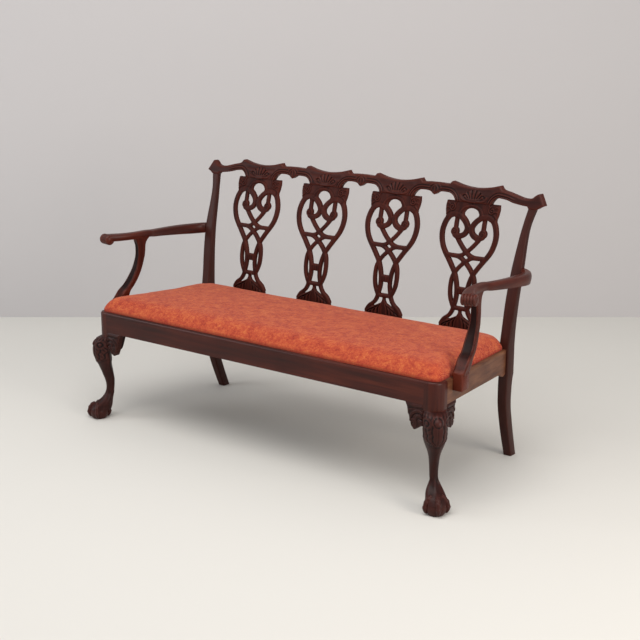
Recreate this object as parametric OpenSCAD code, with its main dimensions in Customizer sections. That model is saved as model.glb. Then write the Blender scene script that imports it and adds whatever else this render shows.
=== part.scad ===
// A settee with four pierced chair backs, open arms, claw feet and a loose seat.
// It is drawn from its right half and mirrored. X is across, Y runs back, Z is up.

/* [Overall] */
// From the middle of one chair back to the middle of the next
chair_pitch = 335; // [300:1:370]
// Height of the crest's ears above the floor
back_h = 971; // [900:1:1040]
// Height of the seat rail's top at the front
seat_h = 436; // [400:1:470]
// How far the seat falls from front to back
seat_fall = 16; // [0:1:30]
// Width of the seat across the front
seat_front_w = 1586; // [1500:1:1680]
// Depth of the seat over the rails
seat_depth = 581; // [520:1:640]

/* [Seat rails] */
// Height of the seat rails
rail_h = 80; // [60:1:100]
// Thickness of the seat rails
rail_t = 26; // [22:1:32]
// Thickness of the back rail
back_rail_t = 30; // [24:1:34]
// Width of the rim round the loose seat
rim_w = 12; // [11:1:15]
// Radius of the rim's rounded outer edge
rim_round = 10; // [4:1:11]
// Depth of the step that the loose seat rests on
rebate_h = 16; // [12:1:20]
// Radius of the rounded front corners
corner_r = 40; // [30:1:56]

/* [Front legs] */
// Width of the square post at the top of a front leg
leg_post_w = 60; // [56:1:70]
// How far the post hangs below the seat rail
post_drop = 20; // [12:1:30]
// How far the knee stands out past the post along the diagonal
knee_out = 34; // [20:1:44]
// Thickness of the leg at the knee
knee_t = 76; // [60:1:84]
// Thickness of the leg at the ankle
ankle_t = 29; // [24:1:36]
// Height of the ankle above the floor
ankle_h = 125; // [105:1:145]
// Diameter of the ball in the claw
ball_d = 80; // [72:1:88]
// Width of the flat that a foot stands on
sole_d = 62; // [48:1:68]
// How far the foot stands out past the ankle along the diagonal
foot_out = 47; // [30:1:56]
// Thickness of a claw at its root
claw_t = 20; // [14:1:24]
// Reach of a knee block along its rail
knee_block_reach = 70; // [60:1:84]
// Height of a knee block below the seat rail
knee_block_h = 88; // [76:1:94]
// Thickness of a knee block
knee_block_t = 28; // [24:1:36]

/* [Rear posts] */
// Width of a rear post at its widest, above the seat
post_w = 42; // [36:1:48]
// Depth of a rear post at the seat
post_depth = 46; // [40:1:52]
// How far a rear post stands out past the side rail
post_proud = 9; // [4:1:14]

/* [Back] */
// Height of the crest from its joint with the splats to its ears
crest_h = 68; // [60:1:80]
// Thickness of the crest
crest_t = 24; // [20:1:30]
// Thickness of the splats
splat_t = 14; // [11:1:18]
// Width of the splats' outer straps
strap_w = 20; // [15:1:23]
// Width of the splats' inner straps
inner_strap_w = 15; // [11:1:17]
// Radius of the curve that the back follows
back_bend_r = 2250; // [1900:10:2800]
// Height at which that curve stands upright
back_bend_z = 280; // [220:1:340]
// Height of a splat's shoe
shoe_h = 28; // [20:1:34]
// Depth of a splat's shoe
shoe_d = 26; // [22:1:30]
// Depth of the joint between splat and crest
tenon_h = 14; // [8:1:20]

/* [Arms] */
// Height of the arm's top over its support
arm_h = 716; // [680:1:740]
// How far the arm falls from its support to the rear post
arm_fall = 18; // [0:1:40]
// Width of an arm
arm_w = 33; // [26:1:38]
// Thickness of an arm
arm_t = 27; // [22:1:32]
// Diameter of the rolled handhold
roll_d = 35; // [30:1:40]
// Length of the rolled handhold
roll_l = 50; // [44:1:60]
// Number of reeds along the handhold
reed_n = 5; // [3:1:7]
// Width of an arm support at its foot
support_w = 56; // [46:1:64]
// Depth of an arm support at its middle
support_d = 28; // [24:1:36]
// How far the support's block stands out from the side rail
support_proud = 34; // [26:1:40]

/* [Loose seat] */
// Gap round the loose seat
seat_gap = 1; // [0.5:0.5:3]
// Height of the cushion's crown above the rim at the front
crown_h = 56; // [40:1:70]
// Thickness of the loose seat's frame
frame_t = 20; // [16:1:26]
// Width of the loose seat's frame rails
frame_w = 56; // [44:1:70]
// Thickness of the cover
cover_t = 1.5; // [1:0.5:3]
// Width of one webbing strap
web_w = 50; // [40:1:60]
// Thickness of the webbing
web_t = 2; // [1:0.5:3]

/* [Hidden] */

// Number of chair backs, and overrun of a cut past the face it opens
chairs = 4;
over = 5;
// Play of a tenon or screw in its hole, gap of a glued face, and gap between loose pieces
fit_gap = 0.2;
glue_gap = 0.1;
clear_gap = 0.3;
// Colours of the show wood, the hidden wood, the cloth and the steel
wood = "#54271c";
plain_wood = "#a5825c";
cloth = "#b04a33";
steel = "#8d9094";
// Steps of the smooth lines and of the rounded corners
strap_steps = 2;
line_steps = 3;
corner_steps = 8;
// Radius and steps of the fillets between straps
crook_r = 1.5;
crook_fn = 8;

// Half the width over the chair backs, and half the width of the seat at the front
backs_half = chairs * chair_pitch / 2;
front_half = seat_front_w / 2;
crest_z = back_h - crest_h;
rail_low_z = seat_h - rail_h;
rear_top_z = seat_h - seat_fall;
rear_low_z = rear_top_z - rail_h;
post_low_z = rail_low_z - post_drop;
shoe_top_z = rear_top_z + shoe_h;
splat_h = crest_z - shoe_top_z;
post_front_y = seat_depth - post_depth;
back_in_y = seat_depth - back_rail_t;
ledge_w = (rail_t - rim_w) / 2;
shoe_front_y = back_in_y + ledge_w;
fall_angle = atan(seat_fall / post_front_y);
function rim_z(y) = seat_h - seat_fall * y / post_front_y;
function chair_x(i) = (i - (chairs - 1) / 2) * chair_pitch;

// The back's curve: an arc about a line behind the settee
back_axis_y = shoe_front_y + shoe_d / 2 + sqrt(pow(back_bend_r, 2) - pow(rear_top_z - back_bend_z, 2));
function back_y(z, off = 0) = back_axis_y - sqrt(pow(back_bend_r + off, 2) - pow(z - back_bend_z, 2));

// A smooth line through points, with n steps from each to the next
function blend(a, b, c, d, t) = (2 * b + (c - a) * t + (2 * a - 5 * b + 4 * c - d) * t * t
    + (3 * b - a - 3 * c + d) * t * t * t) / 2;
function smooth(p, n) = [
    for (i = [0:len(p) - 2], k = [0:n - 1])
        blend(p[max(i - 1, 0)], p[i], p[i + 1], p[min(i + 2, len(p) - 1)], k / n),
    p[len(p) - 1]
];
function reversed(p) = [for (i = [len(p) - 1:-1:0]) p[i]];
function mirrored(p) = [for (v = reversed(p)) [-v[0], v[1]]];
function scaled(shares, w, h) = [for (s = shares) [s[0] * w, s[1] * h]];
function moved(p, x, y) = [for (v = p) [v[0] + x, v[1] + y]];

// A strap: a band along a smooth line, as wide as w0 at its start and w1 at its end
function heading(p, i) = let (d = p[min(i + 1, len(p) - 1)] - p[max(i - 1, 0)]) d / norm(d);
function strap_edge(p, w0, w1, side) = [
    for (i = [0:len(p) - 1])
        let (t = heading(p, i), w = w0 + (w1 - w0) * i / (len(p) - 1))
            p[i] + side * w / 2 * [-t[1], t[0]]
];
module strap(p, w0, w1) {
    line = smooth(p, strap_steps);
    polygon(concat(strap_edge(line, w0, w1, 1), reversed(strap_edge(line, w0, w1, -1))));
}

// A closed skin over rings of points, each ring with as many points, first ring lowest
module skin(rings) {
    n = len(rings[0]);
    last = len(rings) - 1;
    sides = [
        for (i = [0:last - 1], j = [0:n - 1])
            let (a = i * n + j, b = i * n + (j + 1) % n)
                each [[a, b + n, b], [a, a + n, b + n]]
    ];
    start = [for (j = [0:n - 1]) j];
    end = [for (j = [n - 1:-1:0]) last * n + j];
    polyhedron(points = [for (r = rings) each r], faces = concat(sides, [start, end]));
}

// A slice of the curved back, t thick, from x0 to x1 and z0 to z1
module back_slice(t, x0, x1, z0, z1) {
    intersection() {
        translate([x0, back_axis_y, back_bend_z]) rotate([0, 90, 0]) difference() {
            cylinder(r = back_bend_r + t / 2, h = x1 - x0, $fn = 360);
            translate([0, 0, -over]) cylinder(r = back_bend_r - t / 2, h = x1 - x0 + 2 * over, $fn = 360);
        }
        translate([x0 - over, 0, z0]) cube([x1 - x0 + 2 * over, back_axis_y, z1 - z0]);
    }
}
// An outline drawn in X and Z, run through the whole depth
module through_y() {
    translate([0, 2 * seat_depth, 0]) rotate([90, 0, 0]) linear_extrude(2 * seat_depth) children();
}
// An outline drawn in Y and Z, run from x0 to x1
module through_x(x0, x1) {
    translate([x0, 0, 0]) rotate([90, 0, 90]) linear_extrude(x1 - x0) children();
}
// An outline drawn in X and Y, run from z0 to z1
module through_z(z0, z1) {
    translate([0, 0, z0]) linear_extrude(z1 - z0) children();
}
// The settee stands with the middle of its width and depth over the origin
module place(side = 1) {
    translate([0, -(front_reach + back_reach) / 2, 0]) mirror([side < 0 ? 1 : 0, 0, 0]) children();
}

// Rear posts: middle, width, front and depth from the floor up to the seat rails, then to the crest
low_shares = [0, 0.206, 0.43, 0.647, 0.88, 1];
low_x_shares = [0.091, 0.1, 0.109, 0.117, 0.127, 0.133];
low_w_shares = [0.74, 0.785, 0.83, 0.85, 0.87, 0.88];
rake_shares = [1, 0.66, 0.34, 0.1, 0.007, 0];
low_depth_shares = [0.815, 0.83, 0.83, 0.84, 0.9, 1];
high_shares = [0, 0.148, 0.355, 0.563, 0.77, 0.886, 1];
high_x_shares = [0.133, 0.137, 0.149, 0.164, 0.172, 0.185, 0.215];
high_w_shares = [0.88, 0.93, 1, 0.95, 0.69, 0.62, 0.71];
ahead_shares = [0, 0.67, 0.59, 0.5, 0.36, 0.28, 0.23];
behind_shares = [0, 0.11, 0.02, 0.04, 0.16, 0.2, 0.27];
// How far the rear foot stands behind the post's face at the seat
rear_rake = 76;
// Depth of the lobe at the side rail's rear end, where the post is still straight
lobe_h = 13;
function low_z(s) = s * (rear_low_z - lobe_h);
function high_z(s) = seat_h + s * (crest_z - seat_h);
function post_mid(s) = backs_half + s * chair_pitch;
function post_side(side) = concat(
    smooth([for (i = [0:5]) [post_mid(low_x_shares[i]) + side * low_w_shares[i] * post_w / 2,
        low_z(low_shares[i])]], line_steps),
    smooth([for (i = [0:6]) [post_mid(high_x_shares[i]) + side * high_w_shares[i] * post_w / 2,
        high_z(high_shares[i])]], line_steps)
);
post_front_line = concat(
    smooth([for (i = [0:5]) [post_front_y + rear_rake * rake_shares[i], low_z(low_shares[i])]], line_steps),
    smooth([for (i = [0:6]) let (z = high_z(high_shares[i]))
        [i == 0 ? post_front_y : back_y(z) - ahead_shares[i] * post_depth, z]], line_steps)
);
post_back_line = concat(
    smooth([for (i = [0:5]) [post_front_y + rear_rake * rake_shares[i] + low_depth_shares[i] * post_depth,
        low_z(low_shares[i])]], line_steps),
    smooth([for (i = [0:6]) let (z = high_z(high_shares[i]))
        [i == 0 ? seat_depth : back_y(z) + behind_shares[i] * post_depth, z]], line_steps)
);
post_seat_x = post_mid(low_x_shares[5]);
post_in_x = post_seat_x - low_w_shares[5] * post_w / 2;
post_out_x = post_seat_x + low_w_shares[5] * post_w / 2;
rail_end_x = post_out_x - post_proud;

// The seat's outline: straight in front, round corners, sides that run in to the rear posts
side_angle = atan((front_half - rail_end_x) / post_front_y);
function side_x(y, inset = 0) = front_half - y * tan(side_angle) - inset / cos(side_angle);
function corner_arc(inset) = [
    for (i = [0:corner_steps]) let (a = -90 + (90 + side_angle) * i / corner_steps)
        [side_x(corner_r, corner_r) + (corner_r - inset) * cos(a), corner_r + (corner_r - inset) * sin(a)]
];
function pocket_side(inset) = concat(corner_arc(rim_w + inset), [
    [side_x(post_front_y - inset, rim_w + inset), post_front_y - inset],
    [post_in_x - inset, post_front_y - inset],
    [post_in_x - inset, shoe_front_y - inset]
]);
function pocket(inset) = concat(pocket_side(inset), mirrored(pocket_side(inset)));
// A band beside the side rail's outer face, between two insets and two distances from the front
module side_band(in0, in1, y0, y1) {
    polygon([[side_x(y0, in0), y0], [side_x(y1, in0), y1], [side_x(y1, in1), y1], [side_x(y0, in1), y0]]);
}
// What lies between two heights measured from the sloping rim
module sloped(low, high, y0, y1) {
    through_x(-front_half - over, front_half + over) polygon([
        [y0, rim_z(y0) + low], [y1, rim_z(y1) + low], [y1, rim_z(y1) + high], [y0, rim_z(y0) + high]
    ]);
}
// The pocket that the loose seat drops into
module seat_pocket() {
    intersection() {
        through_z(rear_low_z, seat_h + rail_h) polygon(pocket(0));
        sloped(-rebate_h, rail_h, -over, seat_depth + over);
    }
}

// What is cut away along the rim's outer edge to round it, but for the place of the arm support.
// Inset and height as shares of the rounding's radius, running on past both faces
rim_cut_shares = [
    [-0.05, -1.3], [0.05, -0.69], [0.19, -0.41], [0.41, -0.19], [0.69, -0.05], [1.3, 0.05]
];
rim_cut_curve = scaled(rim_cut_shares, rim_round, rim_round);
rim_cut_outline = concat([[-over, rim_cut_curve[0][1]]], rim_cut_curve,
    [[rim_cut_curve[len(rim_cut_curve) - 1][0], over], [-over, over]]);
// A ring of the cut: its outline, set where the rim runs in a direction
function rim_cut_ring(x, y, a) = [
    for (p = rim_cut_outline) let (py = y - p[0] * sin(a)) [x - p[0] * cos(a), py, rim_z(py) + p[1]]
];
rim_cut_corner = [
    for (i = [0:corner_steps]) let (a = -90 + (90 + side_angle) * i / corner_steps, p = corner_arc(0)[i])
        rim_cut_ring(p[0], p[1], a)
];
module rim_rounding() {
    skin(concat([rim_cut_ring(-front_half, 0, -90)], rim_cut_corner,
        [rim_cut_ring(side_x(support_y), support_y, side_angle)]));
    skin([for (y = [support_y + support_w, post_front_y]) rim_cut_ring(side_x(y), y, side_angle)]);
}

// Tenons of the rails, in the legs and posts. Each has a root that lies in its own rail
tenon_l = 24;
tenon_root = 4;
tenon_t = 9;
tenon_low = 14;
tenon_high_share = 0.5;
leg_post_x = front_half - leg_post_w;
module tenon_x(x, y, low, play) {
    translate([x - tenon_root - play, y - tenon_t / 2 - play, low + tenon_low - play])
        cube([tenon_root + tenon_l + 2 * play, tenon_t + 2 * play, tenon_high_share * rail_h + 2 * play]);
}
module tenon_y(x, y, low, play) {
    translate([x - tenon_t / 2 - play, y - play, low + tenon_low - play])
        cube([tenon_t + 2 * play, tenon_l + tenon_root + 2 * play, tenon_high_share * rail_h + 2 * play]);
}
module front_tenon(play = 0) {
    tenon_x(leg_post_x, rail_t / 2, rail_low_z, play);
}
module side_front_tenon(play = 0) {
    tenon_y(side_x(leg_post_w, rail_t / 2), leg_post_w - tenon_l, rear_low_z + seat_fall, play);
}
module side_rear_tenon(play = 0) {
    tenon_y(side_x(post_front_y, rail_t / 2), post_front_y - tenon_root, rear_low_z, play);
}
module back_tenon(play = 0) {
    tenon_x(post_in_x, back_in_y + back_rail_t / 2, rear_low_z, play);
}

// Seat rails
module front_rail() {
    color(wood) place() {
        difference() {
            intersection() {
                translate([-leg_post_x, 0, rail_low_z]) cube([2 * leg_post_x, rail_t, rail_h]);
                sloped(-2 * rail_h, 0, -over, leg_post_w);
            }
            seat_pocket();
            rim_rounding();
            for (side = [0, 1]) mirror([side, 0, 0]) block_screw_holes();
        }
        for (side = [0, 1]) mirror([side, 0, 0]) front_tenon();
    }
}
module back_rail() {
    color(plain_wood) place() {
        difference() {
            translate([-post_in_x, back_in_y, rear_low_z]) cube([2 * post_in_x, back_rail_t, rail_h]);
            seat_pocket();
            for (side = [0, 1]) mirror([side, 0, 0]) block_screw_holes();
        }
        for (side = [0, 1]) mirror([side, 0, 0]) back_tenon();
    }
}
// The side rail's lower edge ends in a small lobe by the rear post
lobe_l = 47;
lobe_shares = [[0, 0], [0.12, -0.4], [0.3, -0.8], [0.5, -1], [0.75, -0.95], [0.9, -0.7], [1, -0.6]];
module side_rail(side) {
    lobe_y = post_front_y - lobe_l;
    edge = [for (p = smooth(lobe_shares, line_steps)) let (y = lobe_y + p[0] * lobe_l)
        [y, rim_z(y) - rail_h + p[1] * lobe_h]];
    color(wood) place(side) {
        difference() {
            intersection() {
                through_z(0, seat_h) side_band(0, rail_t, leg_post_w, post_front_y);
                through_x(0, front_half) polygon(concat(
                    [[post_front_y, rear_top_z], [leg_post_w, rim_z(leg_post_w)],
                        [leg_post_w, rim_z(leg_post_w) - rail_h]], edge));
            }
            seat_pocket();
            rim_rounding();
            support_screw_hole();
            block_screw_holes();
        }
        side_front_tenon();
        side_rear_tenon();
    }
}

// Front legs: a square post in the corner, a knee that swells outwards, an ankle and a clawed foot
leg_axis = [side_x(leg_post_w / 2, leg_post_w / 2), leg_post_w / 2];
corner_share = 0.43;
knee_mid_share = 0.06;
// Per level: height from ankle to post, outward swell, inward reach and half width, as shares
knee_shares = [
    [0, 0.03, 1.1, 0], [0.07, 0.04, 1.17, 0.02], [0.166, 0.14, 1.2, 0.085], [0.26, 0.3, 1.03, 0.17],
    [0.355, 0.46, 0.83, 0.36], [0.45, 0.64, 0.62, 0.68], [0.545, 0.8, 0.75, 0.95], [0.64, 0.956, 0.7, 1],
    [0.735, 1, 0.7, 1], [0.83, 0.956, 0.7, 1], [0.905, 0.8, 0.65, 1], [0.955, 0.6, 0.6, 0.99],
    [1.02, 0.1, 0.5, 0.9]
];
// The same from inside the ball up to the ankle, with the swell as a share of the foot's reach,
// and last the place where the leg is widest, as a share of its outward reach
shin_shares = [[0.304, 2.14, 0.07, 2.48, 0.5], [0.4, 1.89, 0.2, 2.4, 0.47], [0.48, 1.58, 0.28, 2.34, 0.42],
    [0.57, 1.03, 0.38, 2.07, 0.33], [0.66, 0.6, 0.5, 1.69, 0.26], [0.75, 0.31, 0.65, 1.31, 0.16],
    [0.84, 0.14, 0.9, 1.02, 0.1]];
leg_fn = 20;
function leg_ring(z, out, back, half, mid_share) = [
    for (i = [0:leg_fn - 1])
        let (a = 360 * i / leg_fn, mid = mid_share * out,
            d = cos(a) > 0 ? mid + (out - mid) * cos(a) : mid + (mid + back) * cos(a), t = half * sin(a))
            [leg_axis[0] + (d + t) * cos(45), leg_axis[1] - (d - t) * sin(45), z]
];
function shin_ring(s) = leg_ring(s[0] * ankle_h, ankle_t / 2 + s[1] * (foot_out - ankle_t / 2),
    s[2] * ankle_t / 2, s[3] * ankle_t / 2, s[4]);
function knee_ring(s) = leg_ring(ankle_h + s[0] * (post_low_z - ankle_h),
    ankle_t / 2 + s[1] * (corner_share * leg_post_w + knee_out - ankle_t / 2), s[2] * ankle_t / 2,
    ankle_t / 2 + s[3] * (knee_t - ankle_t) / 2, knee_mid_share);
ball_z = sqrt(pow(ball_d, 2) - pow(sole_d, 2)) / 2;
// Claws: angle round the ball, then per ring the angle above its middle and the thickness
claw_turns = [0, 78, -78, 180];
claw_rise_share = 0.95;
claw_shares = [[64, 0.42], [47, 0.48], [31, 0.5], [15, 0.45], [1, 0.47], [-11, 0.4], [-22, 0.28], [-32, 0.13]];
claw_fn = 8;
function claw_ring(s) = [
    for (j = [0:claw_fn - 1]) let (b = 360 * j / claw_fn, r = s[1] * claw_t,
        reach = claw_rise_share * ball_d / 2 + r * cos(b))
        [reach * cos(s[0]), r * sin(b), reach * sin(s[0])]
];
module claw() {
    skin([for (s = reversed(claw_shares)) claw_ring(s)]);
}
// How far the settee reaches to the front and to the back
claw_turned = [
    for (a = claw_turns, s = claw_shares, p = claw_ring(s)) p[0] * sin(a - 45) + p[1] * cos(a - 45)
];
front_reach = leg_axis[1] - foot_out * sin(45) + min([-ball_d / 2, each claw_turned]);
back_reach = back_y(back_h, -crest_t / 2);
module foot() {
    translate([leg_axis[0], leg_axis[1], 0]) rotate([0, 0, -45]) translate([foot_out, 0, ball_z]) {
        difference() {
            union() {
                sphere(d = ball_d, $fn = 64);
                for (a = claw_turns) rotate([0, 0, a]) claw();
            }
            translate([-ball_d, -ball_d, -ball_z - ball_d]) cube([2 * ball_d, 2 * ball_d, ball_d]);
        }
    }
}
knee_low_share = 0.82;
knee_low_z = rail_low_z - knee_low_share * knee_block_h;
module front_leg(side) {
    color(wood) place(side) difference() {
        union() {
            intersection() {
                through_z(post_low_z, seat_h) polygon(concat([[leg_post_x, 0]], corner_arc(0),
                    [[side_x(leg_post_w), leg_post_w], [leg_post_x, leg_post_w]]));
                sloped(-2 * rail_h, 0, -over, leg_post_w + over);
            }
            through_z(knee_low_z, post_low_z)
                polygon([[leg_post_x, 0], [side_x(leg_post_w), leg_post_w], [leg_post_x, leg_post_w]]);
            intersection() {
                skin(concat([for (s = shin_shares) shin_ring(s)], [for (s = knee_shares) knee_ring(s)]));
                translate([leg_post_x, leg_post_w - seat_depth, 0]) cube([front_half, seat_depth, seat_h]);
            }
            foot();
        }
        seat_pocket();
        rim_rounding();
        front_tenon(fit_gap);
        side_front_tenon(fit_gap);
    }
}

// Knee blocks: a scroll cut from the solid that fills the corner under a rail, each side of a leg
block_proud = 4;
block_shares = [[1, 0], [0.9, -0.182], [0.857, -0.352], [0.786, -0.523], [0.714, -0.693], [0.629, -0.864],
    [0.514, -1], [0.343, -0.955], [0.143, -0.835], [0, -knee_low_share]];
block_edge = smooth(block_shares, line_steps);
module knee_block_front(side) {
    color(wood) place(side) intersection() {
        translate([leg_post_x - knee_block_reach, -block_proud, 0])
            cube([knee_block_reach, knee_block_t, rail_low_z]);
        through_y() polygon(concat([[leg_post_x, rail_low_z]],
            [for (p = block_edge) [leg_post_x - p[0] * knee_block_reach, rail_low_z + p[1] * knee_block_h]]));
    }
}
module knee_block_side(side) {
    function low(y) = rim_z(y) - rail_h;
    color(wood) place(side) intersection() {
        through_z(0, seat_h)
            side_band(-block_proud, knee_block_t - block_proud, leg_post_w, leg_post_w + knee_block_reach);
        through_x(0, front_half + rail_t) polygon(concat([[leg_post_w, low(leg_post_w)]],
            [for (p = block_edge) let (y = leg_post_w + p[0] * knee_block_reach)
                [y, low(y) + p[1] * knee_block_h]]));
    }
}

// Rear posts, each one piece from the floor to the crest
module post_solid() {
    intersection() {
        through_x(backs_half, backs_half + chair_pitch)
            polygon(concat(post_front_line, reversed(post_back_line)));
        through_y() polygon(concat(post_side(1), reversed(post_side(-1))));
    }
}
module rear_post(side) {
    color(wood) place(side) difference() {
        post_solid();
        side_rear_tenon(fit_gap);
        back_tenon(fit_gap);
        arm_screw_hole();
    }
}

// Crest rail: one chair's saddle and ears, the link to the next chair, and the end of the rail,
// each point as shares of the chair's pitch from its middle and of the crest's height
saddle_shares = [[0, 0.757], [0.09, 0.787], [0.179, 0.853], [0.239, 0.926], [0.299, 1]];
link_shares = [[0.322, 0.868], [0.34, 0.824], [0.403, 0.838], [0.5, 0.846]];
arch_shares = [[0.5, 0.206], [0.478, 0.265], [0.448, 0.368], [0.403, 0.412], [0.343, 0.412],
    [0.293, 0.375], [0.257, 0.265], [0.233, 0.118], [0.224, 0]];
end_top_shares = [[0.299, 1], [0.334, 0.809], [0.409, 0.721], [0.469, 0.647], [0.528, 0.574],
    [0.588, 0.507], [0.648, 0.493], [0.693, 0.544], [0.722, 0.662], [0.752, 0.765], [0.781, 0.794]];
end_tip_shares = [[0.852, 0.221], [0.812, 0.147], [0.776, 0.029]];
end_arch_shares = [[0.654, 0.118], [0.588, 0.147], [0.528, 0.184], [0.469, 0.235], [0.409, 0.324],
    [0.343, 0.368], [0.293, 0.375], [0.257, 0.265], [0.233, 0.118], [0.224, 0]];
post_top_out = post_side(1)[len(post_side(1)) - 1][0];
post_top_in = post_side(-1)[len(post_side(-1)) - 1][0];
mid_chair = chairs / 2;
last_chair = chairs - 1;
function crest_line(shares, i, flip = 1) = moved(
    scaled(smooth(shares, strap_steps), flip * chair_pitch, crest_h), chair_x(i), crest_z);
function crest_top(i) = concat(
    reversed(crest_line(link_shares, i, -1)), reversed(crest_line(saddle_shares, i, -1)),
    crest_line(saddle_shares, i),
    i == last_chair
        ? concat(crest_line(end_top_shares, i), crest_line(end_tip_shares, i))
        : crest_line(link_shares, i)
);
function crest_under(i) = concat(
    i == last_chair
        ? concat([[post_top_out, crest_z], [post_top_in, crest_z]], crest_line(end_arch_shares, i))
        : crest_line(arch_shares, i),
    reversed(crest_line(arch_shares, i, -1))
);
crest_half_line = concat(
    [for (i = [mid_chair:last_chair]) each crest_top(i)],
    [for (i = [last_chair:-1:mid_chair]) each crest_under(i)]
);
// Half widths of the splats' tongues in the crest and in the shoe, as shares of the pitch
top_tongue_share = 0.17;
foot_tongue_share = 0.2;
module splat_tongues(i, play = 0) {
    for (t = [[crest_z - play, crest_z + tenon_h + play, top_tongue_share],
            [shoe_top_z - tenon_h - play, shoe_top_z + play, foot_tongue_share]])
        back_slice(splat_t + 2 * play, chair_x(i) - t[2] * chair_pitch - play,
            chair_x(i) + t[2] * chair_pitch + play, t[0], t[1]);
}
module crest_rail() {
    color(wood) place() difference() {
        intersection() {
            through_y() offset(r = -crook_r, $fn = crook_fn) offset(delta = crook_r)
                polygon(concat(crest_half_line, mirrored(crest_half_line)));
            back_slice(crest_t, -front_half, front_half, crest_z, back_h);
        }
        for (i = [0:last_chair]) splat_tongues(i, fit_gap);
    }
}

// Splats: each point as shares of the pitch from the middle and of the splat's height
shoulder_shares = [[0, 1.02], [0.327, 1.02], [0.327, 1], [0.334, 0.963], [0.328, 0.923], [0.315, 0.888],
    [0.316, 0.872], [0.262, 0.892], [0.205, 0.9], [0.14, 0.892], [0.09, 0.872], [0.05, 0.85], [0, 0.838]];
arch_hole_shares = [[0, 0.958], [0.04, 0.953], [0.073, 0.94], [0.094, 0.917], [0.092, 0.89],
    [0.06, 0.85], [0, 0.81]];
outer_shares = [[0.21, 0.9], [0.262, 0.885], [0.303, 0.846], [0.328, 0.792], [0.334, 0.746], [0.325, 0.697],
    [0.301, 0.645], [0.263, 0.599], [0.215, 0.553], [0.164, 0.502], [0.113, 0.445], [0.081, 0.384],
    [0.063, 0.318], [0.063, 0.252], [0.081, 0.189], [0.101, 0.143], [0.137, 0.105], [0.197, 0.072],
    [0.233, 0.033]];
outer_taper_share = 0.7;
bow_shares = [[0.239, 0.581], [0.173, 0.58], [0.113, 0.579], [0.06, 0.568], [0, 0.539], [-0.06, 0.5],
    [-0.113, 0.45], [-0.14, 0.406], [-0.149, 0.346], [-0.146, 0.292], [-0.134, 0.248], [-0.11, 0.206],
    [-0.087, 0.175]];
tie_shares = [[-0.155, 0.748], [-0.131, 0.717], [-0.09, 0.68], [-0.048, 0.647], [0, 0.616],
    [0.054, 0.59], [0.113, 0.58], [0.173, 0.58], [0.239, 0.581]];
ring_shares = [[-0.262, 0.885], [-0.21, 0.9], [-0.155, 0.896], [-0.105, 0.879], [-0.058, 0.848],
    [-0.03, 0.814], [-0.029, 0.786], [-0.05, 0.757], [-0.09, 0.738], [-0.135, 0.733], [-0.167, 0.742]];
ball_shares = [0.173, 0.768, 0.048];
bar_shares = [0.149, 0.194, 0.768, 0.89];
collar_shares = [0.066, 0.285, 0.342];
lower_collar_shares = [0.098, 0.156, 0.189];
mound_shares = [[0.015, 0.16], [0.018, 0.134], [0.036, 0.112], [0.078, 0.096], [0.119, 0.083],
    [0.185, 0.068], [0.227, 0.042], [0.251, 0.018], [0.251, -0.02]];
function splat_points(shares) = moved(scaled(shares, chair_pitch, splat_h), 0, shoe_top_z);
module splat_bar(x, z0, z1) {
    translate([-x * chair_pitch, shoe_top_z + z0 * splat_h]) square([2 * x * chair_pitch, (z1 - z0) * splat_h]);
}
module splat_half() {
    difference() {
        polygon(splat_points(shoulder_shares));
        polygon(splat_points(arch_hole_shares));
    }
    strap(splat_points(outer_shares), strap_w, strap_w * outer_taper_share);
    strap(splat_points(bow_shares), inner_strap_w, inner_strap_w);
    strap(splat_points(tie_shares), inner_strap_w, inner_strap_w);
    strap(splat_points(ring_shares), strap_w, strap_w);
    translate([-ball_shares[0] * chair_pitch, shoe_top_z + ball_shares[1] * splat_h])
        circle(r = ball_shares[2] * chair_pitch, $fn = 24);
    translate([bar_shares[0] * chair_pitch, shoe_top_z + bar_shares[2] * splat_h])
        square([(bar_shares[1] - bar_shares[0]) * chair_pitch, (bar_shares[3] - bar_shares[2]) * splat_h]);
    polygon(splat_points(concat([[0, -0.02], [0, 0.16]], mound_shares)));
}
module splat_outline() {
    offset(r = -crook_r, $fn = crook_fn) offset(delta = crook_r) {
        splat_half();
        mirror([1, 0]) splat_half();
        splat_bar(collar_shares[0], collar_shares[1], collar_shares[2]);
        splat_bar(lower_collar_shares[0], lower_collar_shares[1], lower_collar_shares[2]);
    }
}
module splat(i) {
    color(wood) place() {
        translate([chair_x(i), 0, 0]) intersection() {
            through_y() splat_outline();
            back_slice(splat_t, -chair_pitch / 2, chair_pitch / 2, shoe_top_z, crest_z);
        }
        splat_tongues(i);
    }
}

// Shoes: moulded blocks on the back rail, each holding a splat's foot
shoe_half_share = 0.27;
shoe_shares = [[0, 0], [1, 0], [1, 0.4], [0.93, 0.55], [0.86, 0.75], [0.86, 1], [0.14, 1],
    [0.14, 0.75], [0.07, 0.55], [0, 0.4]];
module shoe(i) {
    color(wood) place() difference() {
        through_x(chair_x(i) - shoe_half_share * chair_pitch, chair_x(i) + shoe_half_share * chair_pitch)
            polygon(moved(scaled(shoe_shares, shoe_d, shoe_h), shoe_front_y, rear_top_z));
        splat_tongues(i, fit_gap);
    }
}

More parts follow.
